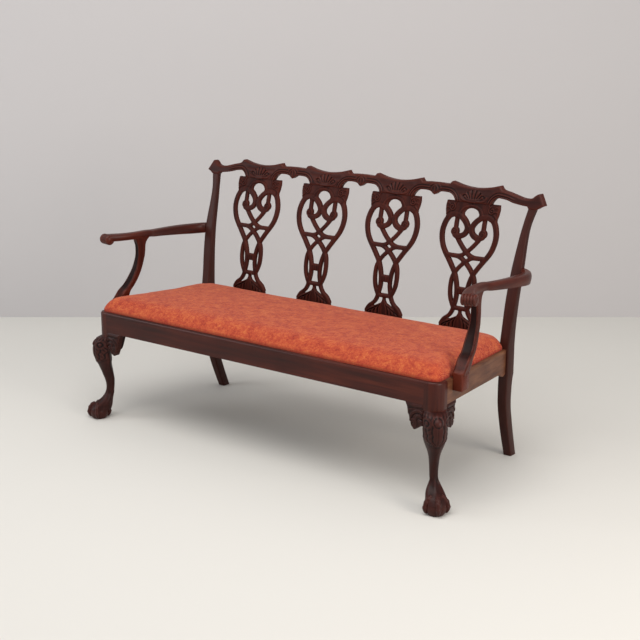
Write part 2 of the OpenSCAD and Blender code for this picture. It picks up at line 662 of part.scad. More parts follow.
// Arms: stations from the handhold back to the rear post. The line bows out from the side rail's line
arm_bow = 70;
arm_y_shares = [0.185, 0.258, 0.344, 0.465, 0.53, 0.62, 0.723, 0.826, 0.912, 0.981, 1.015, 1.03];
arm_bow_shares = [0.696, 0.38, 0.216, 0.255, 0.4, 0.584, 0.75, 0.86, 0.89, 0.77, 0.56, 0.34];
arm_fall_shares = [0, 0, 0, 0, 0.24, 0.45, 0.68, 0.9, 1.1, 1.15, 1.1, 1.05];
arm_w_shares = [1.55, 1.25, 1.05, 1, 1, 1, 1, 1, 1, 0.97, 0.9, 0.86];
arm_section_shares = [[0, 1], [0.22, 0.99], [0.4, 0.9], [0.48, 0.72], [0.5, 0.5], [0.47, 0.25],
    [0.41, 0.08], [0.35, 0]];
arm_section = concat(arm_section_shares, [for (i = [7:-1:1]) [-arm_section_shares[i][0], arm_section_shares[i][1]]]);
arm_line = smooth([
    for (i = [0:11]) let (y = arm_y_shares[i] * seat_depth)
        [side_x(y) + arm_bow_shares[i] * arm_bow, y, arm_h - arm_t - arm_fall_shares[i] * arm_fall,
            arm_w_shares[i] * arm_w]
], line_steps);
function arm_ring(i) = let (
    p = arm_line[i], d = arm_line[min(i + 1, len(arm_line) - 1)] - arm_line[max(i - 1, 0)],
    t = [d[0], d[1]] / norm([d[0], d[1]])
) [for (s = arm_section) [p[0] + s[0] * p[3] * t[1], p[1] - s[0] * p[3] * t[0], p[2] + s[1] * arm_t]];
arm_low_z = arm_h - arm_t - 2 * arm_fall;
arm_end_x = glue_gap + max([for (p = post_side(1)) p[1] > arm_low_z && p[1] < arm_h ? p[0] : 0]);
// The handhold: a roll of reeds side by side, with a button at each end. Each ring is a place along
// the roll and a radius, as shares
roll_turn = 13;
roll_fn = 16;
reed_shares = [[0.02, 0.41], [0.26, 0.49], [0.5, 0.5], [0.74, 0.49]];
button_share = 0.28;
button_out = 2.5;
button_rings = [[-roll_l / 2 - button_out, button_share], [-roll_l / 2, button_share]];
reed_rings = [
    for (i = [0:reed_n - 1], s = reed_shares) [((i + s[0]) / reed_n - 0.5) * roll_l, s[1]],
    [roll_l / 2, reed_shares[0][1]]
];
roll_rings = concat(button_rings, reed_rings, [for (r = reversed(button_rings)) [-r[0], r[1]]]);
module arm_roll() {
    translate([arm_line[0][0], arm_line[0][1], arm_h - roll_d / 2]) rotate([0, 0, roll_turn])
        rotate([0, 90, 0]) skin([
            for (r = roll_rings) [
                for (j = [0:roll_fn - 1]) let (a = 360 * (j + 0.5) / roll_fn)
                    [r[1] * roll_d * cos(a), r[1] * roll_d * sin(a), r[0]]
            ]
        ]);
}
module arm(side) {
    color(wood) place(side) difference() {
        union() {
            skin([for (i = [0:len(arm_line) - 1]) arm_ring(i)]);
            arm_roll();
        }
        cube([arm_end_x, 2 * seat_depth, back_h]);
        arm_screw_hole();
    }
}

// Arm supports: a block outside the side rail, notched over its rim, and a curved upright
support_y = 97;
support_t = 44;
support_block_h = 42;
support_lap = 7;
support_lean = 109;
support_bevel = 3;
// Per level: height, lean back, outward place, thickness across and depth, as shares.
// The first level lies in the block, and the second on top of it
support_shares = [
    [0.025, 0, 0.4, 0.8, 1.75], [0.055, 0, 0.5, 0.94, 1.89], [0.115, 0.11, 0.51, 0.98, 1.64], [0.206, 0.25, 0.52, 1, 1.25],
    [0.277, 0.44, 0.54, 0.86, 1.07], [0.352, 0.58, 0.506, 0.82, 0.93], [0.431, 0.7, 0.48, 0.75, 0.93],
    [0.506, 0.8, 0.465, 0.66, 0.93], [0.581, 0.88, 0.47, 0.61, 0.93], [0.656, 0.936, 0.45, 0.545, 1],
    [0.731, 0.98, 0.424, 0.5, 1.07], [0.81, 0.995, 0.4, 0.477, 1.18], [0.886, 1, 0.403, 0.477, 1.21],
    [0.933, 1.005, 0.403, 0.477, 1.39], [0.972, 1.025, 0.403, 0.49, 1.66], [1, 1.064, 0.403, 0.5, 2.07]
];
support_rise = arm_h - arm_t - seat_h - glue_gap;
function support_ring(s) = let (
    y = support_y + support_w / 2 + s[1] * support_lean, out = s[2] * support_proud,
    w = s[3] * support_t / 2, d = s[4] * support_d / 2, b = support_bevel
) [
    for (p = [[w, -d + b], [w, d - b], [w - b, d], [b - w, d], [-w, d - b], [-w, b - d], [b - w, -d], [w - b, -d]])
        [side_x(y) + (out + p[0]) * cos(side_angle) - p[1] * sin(side_angle),
            y + (out + p[0]) * sin(side_angle) + p[1] * cos(side_angle), seat_h + s[0] * support_rise]
];
module support_block(in0, in1, low) {
    y1 = support_y + support_w;
    intersection() {
        through_z(0, arm_h) side_band(in0, in1, support_y, y1);
        through_x(0, 2 * front_half) polygon([[support_y, rim_z(support_y) - low], [y1, rim_z(y1) - low],
            [y1, support_ring(support_shares[1])[0][2]], [support_y, support_ring(support_shares[1])[0][2]]]);
    }
}
module arm_support(side) {
    color(wood) place(side) difference() {
        union() {
            support_block(-support_proud, 0, support_block_h);
            support_block(-support_proud, support_lap, 0);
            skin([for (s = support_shares) support_ring(s)]);
        }
        support_screw_hole();
    }
}

// Screws: place, direction seen from above and length. The head lies in a counterbore
screw_d = 5;
screw_head_d = 9.6;
screw_head_h = 3;
screw_bite = 14;
screw_fn = 32;
module at_screw(s) {
    translate([s[0], s[1], s[2]]) rotate([0, 0, s[3]]) rotate([0, 90, 0]) children();
}
module screw(s) {
    at_screw(s) {
        cylinder(d = screw_head_d, h = screw_head_h, $fn = screw_fn);
        cylinder(d = screw_d, h = s[4], $fn = screw_fn);
    }
}
module screw_hole(s, sunk) {
    at_screw(s) {
        translate([0, 0, -sunk])
            cylinder(d = screw_head_d + 2 * fit_gap, h = sunk + screw_head_h, $fn = screw_fn);
        cylinder(d = screw_d + 2 * fit_gap, h = s[4] + fit_gap, $fn = screw_fn);
    }
}
support_screw_y = support_y + support_w / 2;
support_screw_drop_share = 0.6;
support_screw = [side_x(support_screw_y, rail_t), support_screw_y,
    rim_z(support_screw_y) - support_screw_drop_share * support_block_h, side_angle, rail_t + screw_bite];
module support_screw_hole() {
    screw_hole(support_screw, over);
}
arm_screw_z = arm_h - arm_fall - arm_t / 2;
arm_screw_x = post_mid(0.16) - 0.42 * post_w;
arm_screw = [arm_screw_x, back_y(arm_screw_z) - post_depth / 4, arm_screw_z, 0,
    arm_end_x - arm_screw_x + screw_bite];
module arm_screw_hole() {
    screw_hole(arm_screw, post_depth);
}

// Corner blocks and braces under the loose seat
block_reach = 50;
corner_block_h = 30;
brace_w = 40;
brace_h = 24;
block_z = rear_low_z + (rail_h - rebate_h - corner_block_h) / 2;
block_screw_z = block_z + corner_block_h / 2;
front_share = 0.35;
block_front_x = leg_post_x - front_share * block_reach;
block_front_y = leg_post_w + front_share * block_reach;
block_rear_x = post_in_x - block_reach / 2;
block_rear_y = post_front_y - block_reach / 2;
front_rail_screw = [block_front_x, rail_t + screw_bite, block_screw_z, -90, 2 * screw_bite];
front_side_screw = [side_x(block_front_y, rail_t) - screw_bite, block_front_y, block_screw_z, 0, 2 * screw_bite];
rear_rail_screw = [block_rear_x, back_in_y - screw_bite, block_screw_z, 90, 2 * screw_bite];
rear_side_screw = [side_x(block_rear_y, rail_t) - screw_bite, block_rear_y, block_screw_z, 0, 2 * screw_bite];
block_screws = [front_rail_screw, front_side_screw, rear_rail_screw, rear_side_screw];
module block_screw_holes() {
    for (s = block_screws) screw_hole(s, block_reach);
}
module corner_block_front(side) {
    color(plain_wood) place(side) difference() {
        through_z(block_z, block_z + corner_block_h) polygon([
            [leg_post_x - block_reach, rail_t], [leg_post_x, rail_t], [leg_post_x, leg_post_w],
            [side_x(leg_post_w, rail_t), leg_post_w],
            [side_x(leg_post_w + block_reach, rail_t), leg_post_w + block_reach]
        ]);
        block_screw_holes();
    }
}
module corner_block_rear(side) {
    color(plain_wood) place(side) difference() {
        through_z(block_z, block_z + corner_block_h) polygon([
            [post_in_x - block_reach, back_in_y],
            [side_x(post_front_y - block_reach, rail_t), post_front_y - block_reach],
            [side_x(post_front_y, rail_t), post_front_y], [post_in_x, post_front_y], [post_in_x, back_in_y]
        ]);
        block_screw_holes();
    }
}
module seat_brace(side) {
    color(plain_wood) place(side) translate([chair_pitch - brace_w / 2, rail_t, block_z])
        cube([brace_w, back_in_y - rail_t, brace_h]);
}
module corner_block_screws() {
    color(steel) for (side = [-1, 1]) place(side) for (s = block_screws) screw(s);
}
module arm_support_screws() {
    color(steel) for (side = [-1, 1]) place(side) screw(support_screw);
}
module arm_screws() {
    color(steel) for (side = [-1, 1]) place(side) screw(arm_screw);
}

// The loose seat is drawn level and tilts with the rim
dust_t = 0.5;
web_bite = 20;
cross_webs = 9;
long_webs = 3;
pad_t = 16;
pad_inset = 14;
frame_low = clear_gap + dust_t;
web_low = frame_low + frame_t;
pad_low = web_low + 2 * web_t;
pad_high = pad_low + pad_t;
frame_inset = seat_gap + cover_t;
frame_y0 = rim_w + frame_inset + frame_w;
frame_y1 = shoe_front_y - frame_inset - frame_w;
module in_seat() {
    place() translate([0, 0, seat_h - rebate_h]) rotate([-fall_angle, 0, 0]) children();
}
module frame_bar(y0, y1) {
    color(plain_wood) in_seat() intersection() {
        through_z(frame_low, web_low) polygon(pocket(frame_inset));
        translate([-front_half, y0, 0]) cube([2 * front_half, y1 - y0, 2 * frame_t]);
    }
}
module seat_frame_front() {
    frame_bar(0, frame_y0);
}
module seat_frame_back() {
    frame_bar(frame_y1, seat_depth);
}
module seat_frame_side(side) {
    color(plain_wood) in_seat() mirror([side < 0 ? 1 : 0, 0, 0]) through_z(frame_low, web_low)
        side_band(rim_w + frame_inset, rim_w + frame_inset + frame_w, frame_y0, frame_y1);
}
module seat_frame_bar(i) {
    color(plain_wood) in_seat() translate([i * chair_pitch - frame_w / 2, frame_y0, frame_low])
        cube([frame_w, frame_y1 - frame_y0, frame_t]);
}
module webbing() {
    color("tan") in_seat() {
        reach = side_x(frame_y1, rim_w + frame_inset + frame_w) + web_bite - web_w / 2;
        for (i = [0:cross_webs - 1])
            translate([(2 * i / (cross_webs - 1) - 1) * reach - web_w / 2, frame_y0 - web_bite, web_low])
                cube([web_w, frame_y1 - frame_y0 + 2 * web_bite, web_t]);
        for (i = [0:long_webs - 1]) let (y = frame_y0 + (i + 1) * (frame_y1 - frame_y0) / (long_webs + 1),
                x = side_x(y, rim_w + frame_inset + frame_w) + web_bite)
            translate([-x, y - web_w / 2, web_low + web_t]) cube([2 * x, web_w, web_t]);
    }
}
module seat_pad() {
    color("wheat") in_seat() through_z(pad_low, pad_high) polygon(pocket(seat_gap + pad_inset));
}
// Cushion: how far each ring is drawn in, and how high it lies, as shares
cushion_shares = [[0, 0.36], [0.003, 0.46], [0.012, 0.57], [0.028, 0.68], [0.05, 0.77],
    [0.085, 0.84], [0.15, 0.895], [0.25, 0.935], [0.42, 0.97], [0.66, 0.99], [0.88, 1]];
cushion_h = rebate_h + crown_h;
cushion_mid_y = (rim_w + shoe_front_y) / 2;
spine_half = front_half - cushion_mid_y;
function cushion_ring(s) = [
    for (p = pocket(seat_gap))
        let (x = min(max(p[0], -spine_half), spine_half), k = 1 - s[0])
            [x + (p[0] - x) * k, cushion_mid_y + (p[1] - cushion_mid_y) * k,
                clear_gap + s[1] * (cushion_h - clear_gap)]
];
module seat_cover() {
    color(cloth) in_seat() difference() {
        skin(concat([[for (p = pocket(seat_gap)) [p[0], p[1], -over]]], [for (s = cushion_shares) cushion_ring(s)]));
        translate([-front_half, 0, -2 * over]) cube([2 * front_half, seat_depth, 2 * over + clear_gap]);
        through_z(-over, pad_low) polygon(pocket(frame_inset));
        through_z(-over, pad_high) polygon(pocket(seat_gap + pad_inset));
    }
}
module dust_cloth() {
    color("black") in_seat() through_z(clear_gap, frame_low) polygon(pocket(frame_inset));
}

front_rail();
back_rail();
side_rail(-1);  // side_rail_left
side_rail(1);  // side_rail_right
front_leg(-1);  // front_leg_left
front_leg(1);  // front_leg_right
rear_post(-1);  // rear_post_left
rear_post(1);  // rear_post_right
knee_block_front(-1);  // knee_block_front_left
knee_block_front(1);  // knee_block_front_right
knee_block_side(-1);  // knee_block_side_left
knee_block_side(1);  // knee_block_side_right
crest_rail();
splat(0);  // splat_1
splat(1);  // splat_2
splat(2);  // splat_3
splat(3);  // splat_4
shoe(0);  // shoe_1
shoe(1);  // shoe_2
shoe(2);  // shoe_3
shoe(3);  // shoe_4
arm(-1);  // arm_left
arm(1);  // arm_right
arm_support(-1);  // arm_support_left
arm_support(1);  // arm_support_right
corner_block_front(-1);  // corner_block_front_left
corner_block_front(1);  // corner_block_front_right
corner_block_rear(-1);  // corner_block_rear_left
corner_block_rear(1);  // corner_block_rear_right
seat_brace(-1);  // seat_brace_left
seat_brace(1);  // seat_brace_right
corner_block_screws();
arm_support_screws();
arm_screws();
seat_frame_front();
seat_frame_back();
seat_frame_side(-1);  // seat_frame_left
seat_frame_side(1);  // seat_frame_right
seat_frame_bar(-1);  // seat_frame_bar_1
seat_frame_bar(0);  // seat_frame_bar_2
seat_frame_bar(1);  // seat_frame_bar_3
webbing();
seat_pad();
seat_cover();
dust_cloth();
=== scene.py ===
# %% [markdown]
# # A settee with four pierced chair backs
# The real object is a long mahogany settee: two carved front legs with claw feet, two raked rear
# posts, a rail of four chair backs, open arms and one loose upholstered seat. The measured solids
# come packed as a frame. This script dresses that frame: carving, rounded edges, polish and cloth.

# %% Load the frame
import math
import bmesh
import bpy
import numpy as np
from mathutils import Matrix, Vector


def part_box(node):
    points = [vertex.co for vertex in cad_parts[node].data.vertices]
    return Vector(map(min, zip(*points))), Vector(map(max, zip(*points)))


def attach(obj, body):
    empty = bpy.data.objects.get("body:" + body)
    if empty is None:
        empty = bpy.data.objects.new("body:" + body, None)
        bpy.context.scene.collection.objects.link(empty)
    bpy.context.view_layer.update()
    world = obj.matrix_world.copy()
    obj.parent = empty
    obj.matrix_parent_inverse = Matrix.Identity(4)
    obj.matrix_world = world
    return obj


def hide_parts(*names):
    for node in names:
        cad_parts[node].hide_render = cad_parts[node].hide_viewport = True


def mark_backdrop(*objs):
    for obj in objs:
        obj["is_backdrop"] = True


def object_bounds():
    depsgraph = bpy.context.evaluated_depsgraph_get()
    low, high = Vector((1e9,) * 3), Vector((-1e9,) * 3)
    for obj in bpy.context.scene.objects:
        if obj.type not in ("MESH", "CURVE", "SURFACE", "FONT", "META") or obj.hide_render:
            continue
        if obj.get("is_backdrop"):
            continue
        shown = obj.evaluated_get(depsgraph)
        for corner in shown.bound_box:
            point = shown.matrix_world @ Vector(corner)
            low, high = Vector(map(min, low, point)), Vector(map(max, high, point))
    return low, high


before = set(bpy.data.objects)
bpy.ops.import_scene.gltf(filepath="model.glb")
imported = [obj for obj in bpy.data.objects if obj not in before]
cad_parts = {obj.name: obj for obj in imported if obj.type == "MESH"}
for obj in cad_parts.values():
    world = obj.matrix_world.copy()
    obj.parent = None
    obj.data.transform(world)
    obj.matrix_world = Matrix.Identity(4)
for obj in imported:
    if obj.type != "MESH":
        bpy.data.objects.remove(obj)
cad_low, cad_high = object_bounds()
print("solids:", len(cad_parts), "box in mm:", [round(v * 1000) for v in cad_high - cad_low])

# %% [markdown]
# The camera stands where the photograph was taken: 38 degrees round to the right of the front and
# 14 degrees above level, far enough off that the long back shows little perspective. Its place is
# taken from the front of the seat rail, as every size below is.

# %% Camera
VIEW_TURN, VIEW_DOWN = 38, 14.33  # degrees round from the front, and down from level
EYE = 2.8762, -3.2787, 1.6341  # metres, from a camera fitted to the photograph
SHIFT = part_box("front_rail")[0].y * 1000  # the frame is centred, the sizes start at the front rail
camera = bpy.data.objects.new("camera", bpy.data.cameras.new("camera"))
bpy.context.scene.collection.objects.link(camera)
camera.data.lens = 72.17
camera.data.sensor_width = 36
camera.location = (EYE[0], EYE[1] + SHIFT / 1000, EYE[2])
camera.rotation_euler = (math.radians(90 - VIEW_DOWN), 0, math.radians(VIEW_TURN))
camera.data.clip_end = 60
bpy.context.scene.camera = camera
bpy.context.scene.view_settings.view_transform = "Standard"
print("front rail stands at", round(SHIFT), "mm")

# %% [markdown]
# Every size is the one that the solids were made with, in millimetres. Curves are kept as a few
# chosen points in shares of a width and a height, and `smooth` runs an even line through them, so
# the carved pieces follow the same lines as the solids that they dress.

# %% Sizes and smooth lines
PITCH, CHAIRS = 335, 4
BACK_H, CREST_H, CREST_T = 971, 68, 24
SEAT_H, SEAT_FALL, SEAT_W, SEAT_D = 436, 16, 1586, 581
RAIL_H, RIM_W, CORNER_R, REBATE_H = 80, 12, 40, 16
POST_W, POST_D, LEG_POST = 42, 46, 60
CREST_Z = BACK_H - CREST_H
SHOE_TOP = SEAT_H - SEAT_FALL + 28
SPLAT_H = CREST_Z - SHOE_TOP
POST_Y = SEAT_D - POST_D
BACK_IN_Y = SEAT_D - 30
SHOE_Y = BACK_IN_Y + 7
BEND_R, BEND_Z = 2250, 280
REAR_TOP = SEAT_H - SEAT_FALL
BACK_AXIS = SHOE_Y + 13 + math.sqrt(BEND_R ** 2 - (REAR_TOP - BEND_Z) ** 2)


def back_y(z, out=0.0):
    """Where the curved back lies at a height, out millimetres in front of its middle."""
    return BACK_AXIS - np.sqrt((BEND_R + out) ** 2 - (np.asarray(z, float) - BEND_Z) ** 2)


def rim_z(y):
    return SEAT_H - SEAT_FALL * y / POST_Y


def chair_x(i):
    return (i - (CHAIRS - 1) / 2) * PITCH


def smooth(points, n, closed=False):
    """An even line through the points, with n steps from each to the next."""
    p = np.asarray(points, float)
    count = len(p) if closed else len(p) - 1
    made = []
    for i in range(count):
        if closed:
            a, b, c, d = (p[(i + k) % len(p)] for k in (-1, 0, 1, 2))
        else:
            a, b, c, d = p[max(i - 1, 0)], p[i], p[i + 1], p[min(i + 2, len(p) - 1)]
        for k in range(n):
            t = k / n
            made.append((2 * b + (c - a) * t + (2 * a - 5 * b + 4 * c - d) * t * t
                         + (3 * b - a - 3 * c + d) * t ** 3) / 2)
    return np.array(made if closed else made + [p[-1]])


def step(low, high, v):
    t = np.clip((np.asarray(v, float) - low) / (high - low), 0, 1)
    return t * t * (3 - 2 * t)


print("splat:", SPLAT_H, "mm high, back leans to", round(float(back_y(BACK_H) - back_y(SHOE_TOP))), "mm")

# %% [markdown]
# Old mahogany is red-brown and streaked along the grain. On the shaped and carved pieces the colour is
# painted darker in the hollows, as painted shade joined with the dark wax that settles there, and paler
# on the ridges, as painted highlight joined with the wear of hands and cloths. The streaks are noise
# stretched along one axis of the Object coordinates. The dark and pale places come from an attribute
# called hollow, which each carved mesh measures on itself. A thin coat gives the satin polish.

# %% Node helpers
def srgb(r, g, b):
    return tuple((c / 255 / 12.92 if c <= 10 else ((c / 255 + 0.055) / 1.055) ** 2.4) for c in (r, g, b)) + (1.0,)


def shade(colour, share, more=0.0):
    return tuple(min(1, c * share + more) for c in colour[:3]) + (1.0,)


def feed(tree, socket, value):
    """Gives an input a value, or joins it to another node's socket."""
    if isinstance(value, bpy.types.NodeSocket):
        tree.links.new(value, socket)
    else:
        socket.default_value = value


def add_node(tree, kind, **values):
    """A new node in a shader or a Geometry Nodes tree, with its inputs and settings given by name."""
    made = tree.nodes.new(kind)
    for key, value in values.items():
        label = key.replace("_", " ")
        if label in made.inputs:
            feed(tree, made.inputs[label], value)
        else:
            setattr(made, key, value)
    return made


def maths(tree, operation, *values):
    made = add_node(tree, "ShaderNodeMath", operation=operation)
    for socket, value in zip(made.inputs, values):
        feed(tree, socket, value)
    return made.outputs[0]


def weighted(tree, *parts):
    """The sum of sockets, each times its own share."""
    total = None
    for source, share in parts:
        term = maths(tree, "MULTIPLY", source, share)
        total = term if total is None else maths(tree, "ADD", total, term)
    return total


def mixed(tree, share, a, b):
    made = add_node(tree, "ShaderNodeMix", data_type="RGBA")
    for place, value in ((0, share), (6, a), (7, b)):
        feed(tree, made.inputs[place], value)
    return made.outputs[2]


def ramp(tree, source, stops):
    made = add_node(tree, "ShaderNodeValToRGB", Fac=source)
    while len(made.color_ramp.elements) < len(stops):
        made.color_ramp.elements.new(0.5)
    for element, (place, colour) in zip(made.color_ramp.elements, stops):
        element.position, element.color = place, colour
    return made.outputs["Color"]


def noise(tree, place, scale, detail, roughness=0.5, distortion=0.0):
    return add_node(tree, "ShaderNodeTexNoise", Vector=place, Scale=scale, Detail=detail, Roughness=roughness,
                    Distortion=distortion).outputs["Fac"]


def weave(tree, place, scales, **values):
    """Ribs along X and ribs along Y, multiplied."""
    return maths(tree, "MULTIPLY", *(
        add_node(tree, "ShaderNodeTexWave", Vector=place, Scale=scale, bands_direction=way, **values).outputs["Fac"]
        for way, scale in zip("XY", scales)))


def bump(tree, height, strength, distance):
    return add_node(tree, "ShaderNodeBump", Height=height, Strength=strength, Distance=distance).outputs[0]


def attribute(tree, name):
    return add_node(tree, "ShaderNodeAttribute", attribute_name=name).outputs["Fac"]


def new_material(name):
    """A material, its tree, and its Object coordinates."""
    material = bpy.data.materials.new(name)
    material.use_nodes = True
    return material, material.node_tree, add_node(material.node_tree, "ShaderNodeTexCoord").outputs["Object"]


def finish_shader(tree, **values):
    for key, value in values.items():
        feed(tree, tree.nodes["Principled BSDF"].inputs[key.replace("_", " ")], value)


print("the middle brown of the wood, as a renderer counts it:", [round(c, 4) for c in srgb(61, 20, 12)[:3]])

# %% Polished and plain wood
def wood(name, grain, dark, middle, light, rough=0.42, coat=0.1, worn=0.18, shine=0.2):
    """Wood whose grain runs along axis 0, 1 or 2, from three colours."""
    material, tree, place = new_material(name)
    stretch = [1.0, 1.0, 1.0]
    stretch[grain] = 0.045  # the streaks are some twenty times longer than wide
    along_grain = add_node(tree, "ShaderNodeMapping", Vector=place, Scale=stretch).outputs[0]
    streaks, figure = noise(tree, along_grain, 58.0, 9.0, 0.62, 0.35), noise(tree, place, 5.0, 3.0)
    colour = ramp(tree, weighted(tree, (streaks, 0.7), (figure, 0.3)), [(0.33, dark), (0.5, middle), (0.68, light)])
    hollow = attribute(tree, "hollow")
    # Hollows are darkened with painted shade, joined with settled wax; ridges are painted paler, a painted highlight
    # joined with rubbed wear.
    sunk, rubbed_and_highlit = (add_node(tree, "ShaderNodeClamp", Value=maths(tree, "MULTIPLY", hollow, share)).outputs[0]
                    for share in (0.85, -worn))
    colour = mixed(tree, sunk, colour, shade(dark, 0.22))
    colour = mixed(tree, rubbed_and_highlit, colour, shade(light, 1.5, 0.006))
    pores = noise(tree, along_grain, 420.0, 4.0, 0.7)
    gloss = maths(tree, "ADD", maths(tree, "MULTIPLY", pores, 0.16), rough - 0.08)
    finish_shader(tree, Base_Color=colour, Normal=bump(tree, pores, 0.22, 0.0006),
                  Roughness=maths(tree, "ADD", gloss, maths(tree, "MULTIPLY", sunk, 0.25)),
                  Coat_Weight=coat, Coat_Roughness=0.22, Specular_IOR_Level=shine)
    return material


DARK, MIDDLE, LIGHT = srgb(38, 12, 8), srgb(61, 20, 12), srgb(84, 33, 19)
CARVED = srgb(32, 10, 7), srgb(53, 18, 12), srgb(72, 28, 18)
mahogany = [wood("mahogany_grain_" + "xyz"[k], k, DARK, MIDDLE, LIGHT) for k in (0, 1, 2)]
carved_wood = wood("mahogany_carved", 2, *CARVED, rough=0.46, coat=0.0, worn=0.3, shine=0.1)
crest_wood = wood("mahogany_crest", 0, *CARVED, rough=0.44, coat=0.03, worn=0.4, shine=0.12)
# Its ridges are painted much paler: a painted highlight, strongest on the beads of the arm supports.
polished_wood = wood("mahogany_polished", 2, DARK, MIDDLE, LIGHT, rough=0.28, coat=0.06, worn=0.6, shine=0.08)
# The rear posts are painted darker than the other show wood: painted shade, as they stand back out of the light.
shaded_post_wood = wood("mahogany_post", 2, srgb(27, 9, 6), srgb(44, 16, 11), srgb(60, 25, 17),
                 rough=0.42, coat=0.04, worn=0.3, shine=0.14)
dark_wood = wood("mahogany_carved_dark", 2, srgb(26, 9, 7), srgb(44, 16, 12), srgb(60, 24, 18),
                 rough=0.4, coat=0.06, worn=0.45, shine=0.14)
# The side rails are painted paler and browner than the front rail: painted light, as they face the light from the
# right.
lit_side_wood = wood("mahogany_side_rail", 1, srgb(62, 31, 20), srgb(96, 58, 39), srgb(124, 82, 56),
                 rough=0.44, coat=0.08, worn=0.15)
plain = wood("plain_hidden_wood", 0, srgb(128, 94, 62), srgb(160, 124, 86), srgb(184, 150, 108),
             rough=0.62, coat=0.0, worn=0.2)
woods = [*mahogany, carved_wood, crest_wood, polished_wood, shaded_post_wood, dark_wood, lit_side_wood, plain]
print("woods:", [m.name for m in woods])

# %% Steel of the screws
steel, tree, place = new_material("screw_steel")
grey = noise(tree, place, 900.0, 5.0)
finish_shader(tree, Base_Color=ramp(tree, grey, [(0.3, srgb(96, 94, 92)), (0.7, srgb(168, 168, 170))]),
              Roughness=maths(tree, "ADD", maths(tree, "MULTIPLY", grey, 0.3), 0.25), Metallic=1.0)
print("screws:", steel.name)

# %% [markdown]
# The cover is a thick, short-piled cloth in orange red. Close to, it is a fine rib of loose yarns,
# some paler and some redder; from a step away it looks softly mottled. The rib is a wave pattern in
# Object coordinates, the mottle is noise at three sizes, and sheen gives the pile its pale bloom at a
# slant. The turned-down sides are painted redder and darker than the crown, as painted shade.

# %% Cloths
def cover_cloth():
    material, tree, place = new_material("orange_red_chenille")
    cloud, speck = noise(tree, place, 115.0, 5.0, 0.75), noise(tree, place, 330.0, 3.0, 0.7)
    patch = noise(tree, place, 34.0, 6.0, 0.72)
    ribs = weave(tree, place, (118.0, 205.0), Distortion=2.2, Detail=2.0, Detail_Scale=3.0)
    colour = ramp(tree, weighted(tree, (cloud, 0.34), (speck, 0.22), (patch, 0.4), (ribs, 0.16)),
                  [(0.41, srgb(132, 28, 16)), (0.49, srgb(172, 54, 30)),
                   (0.545, srgb(186, 74, 39)), (0.62, srgb(202, 114, 58))])
    # Painted shade: the turned-down sides are mixed towards a dark red.
    edge = maths(tree, "MULTIPLY", attribute(tree, "turned_edge"), 0.72)
    height = maths(tree, "ADD", maths(tree, "MULTIPLY", ribs, 0.7), speck)
    finish_shader(tree, Base_Color=mixed(tree, edge, colour, srgb(140, 26, 14)),
                  Normal=bump(tree, height, 0.6, 0.0011), Roughness=0.92,
                  Sheen_Weight=0.14, Sheen_Roughness=0.45, Sheen_Tint=srgb(255, 206, 186))
    return material


def rough_cloth(name, low, high, scale):
    material, tree, place = new_material(name)
    ribs = weave(tree, place, (scale, scale), Distortion=0.8, Detail=1.0)
    finish_shader(tree, Base_Color=ramp(tree, ribs, [(0.1, low), (0.8, high)]),
                  Normal=bump(tree, ribs, 0.5, 0.0008), Roughness=0.95)
    return material


chenille = cover_cloth()
wadding = rough_cloth("wadding", srgb(206, 190, 160), srgb(236, 226, 204), 90.0)
jute = rough_cloth("jute_webbing", srgb(140, 108, 70), srgb(196, 164, 116), 150.0)
lining = rough_cloth("black_lining", srgb(20, 19, 19), srgb(48, 46, 45), 260.0)
print("cloths:", chenille.name, wadding.name, jute.name, lining.name)

# %% [markdown]
# Four small tools make nearly every piece. `shape` turns points in millimetres into a mesh with its
# faces outwards and its sharp edges marked. `loft` skins a row of rings. `mark_hollows` compares each
# point with the smoothed surface round it, which tells hollows from ridges for the wood's colour.
# `mirrored_copy` makes the left piece from the right one, and `dress_pair` stands both in place of their solids.

# %% Mesh tools
def finish_piece(mesh, material, sharp=38):
    made = bmesh.new()
    made.from_mesh(mesh)
    bmesh.ops.remove_doubles(made, verts=made.verts, dist=1e-6)
    bmesh.ops.recalc_face_normals(made, faces=made.faces)
    made.to_mesh(mesh)
    made.free()
    mesh.materials.clear()
    mesh.materials.append(material)
    mesh.shade_smooth()
    mesh.set_sharp_from_angle(angle=math.radians(sharp))
    return mesh


def shape(name, points, faces, material, sharp=38):
    p = np.asarray(points, float) * 0.001 + np.array([0, SHIFT * 0.001, 0])
    mesh = bpy.data.meshes.new(name)
    mesh.from_pydata([tuple(v) for v in p], [], [tuple(int(i) for i in f) for f in faces])
    return finish_piece(mesh, material, sharp)


def stand(name, mesh):
    piece = bpy.data.objects.new(name, mesh)
    bpy.context.scene.collection.objects.link(piece)
    return piece


def ring_faces(rings, sides, start=0):
    faces = [[start + i * sides + j, start + i * sides + (j + 1) % sides,
              start + (i + 1) * sides + (j + 1) % sides, start + (i + 1) * sides + j]
             for i in range(rings - 1) for j in range(sides)]
    faces.append([start + j for j in reversed(range(sides))])
    faces.append([start + (rings - 1) * sides + j for j in range(sides)])
    return faces


def joined(parts):
    """Several (points, faces) as one."""
    points, faces, start = [], [], 0
    for p, f in parts:
        points.append(np.asarray(p, float))
        faces += [[i + start for i in face] for face in f]
        start += len(p)
    return np.vstack(points), faces


def level_ring(plan, z):
    return np.column_stack([plan, np.full(len(plan), z)])


def loft(rings):
    rings = np.asarray(rings, float)
    return rings.reshape(-1, 3), ring_faces(len(rings), rings.shape[1])


def read_all(items, name, width, kind=float):
    """One property of all vertices or edges, a row for each."""
    values = np.empty(len(items) * width, kind)
    items.foreach_get(name, values)
    return values.reshape(-1, width)


def places(mesh):
    return read_all(mesh.vertices, "co", 3)


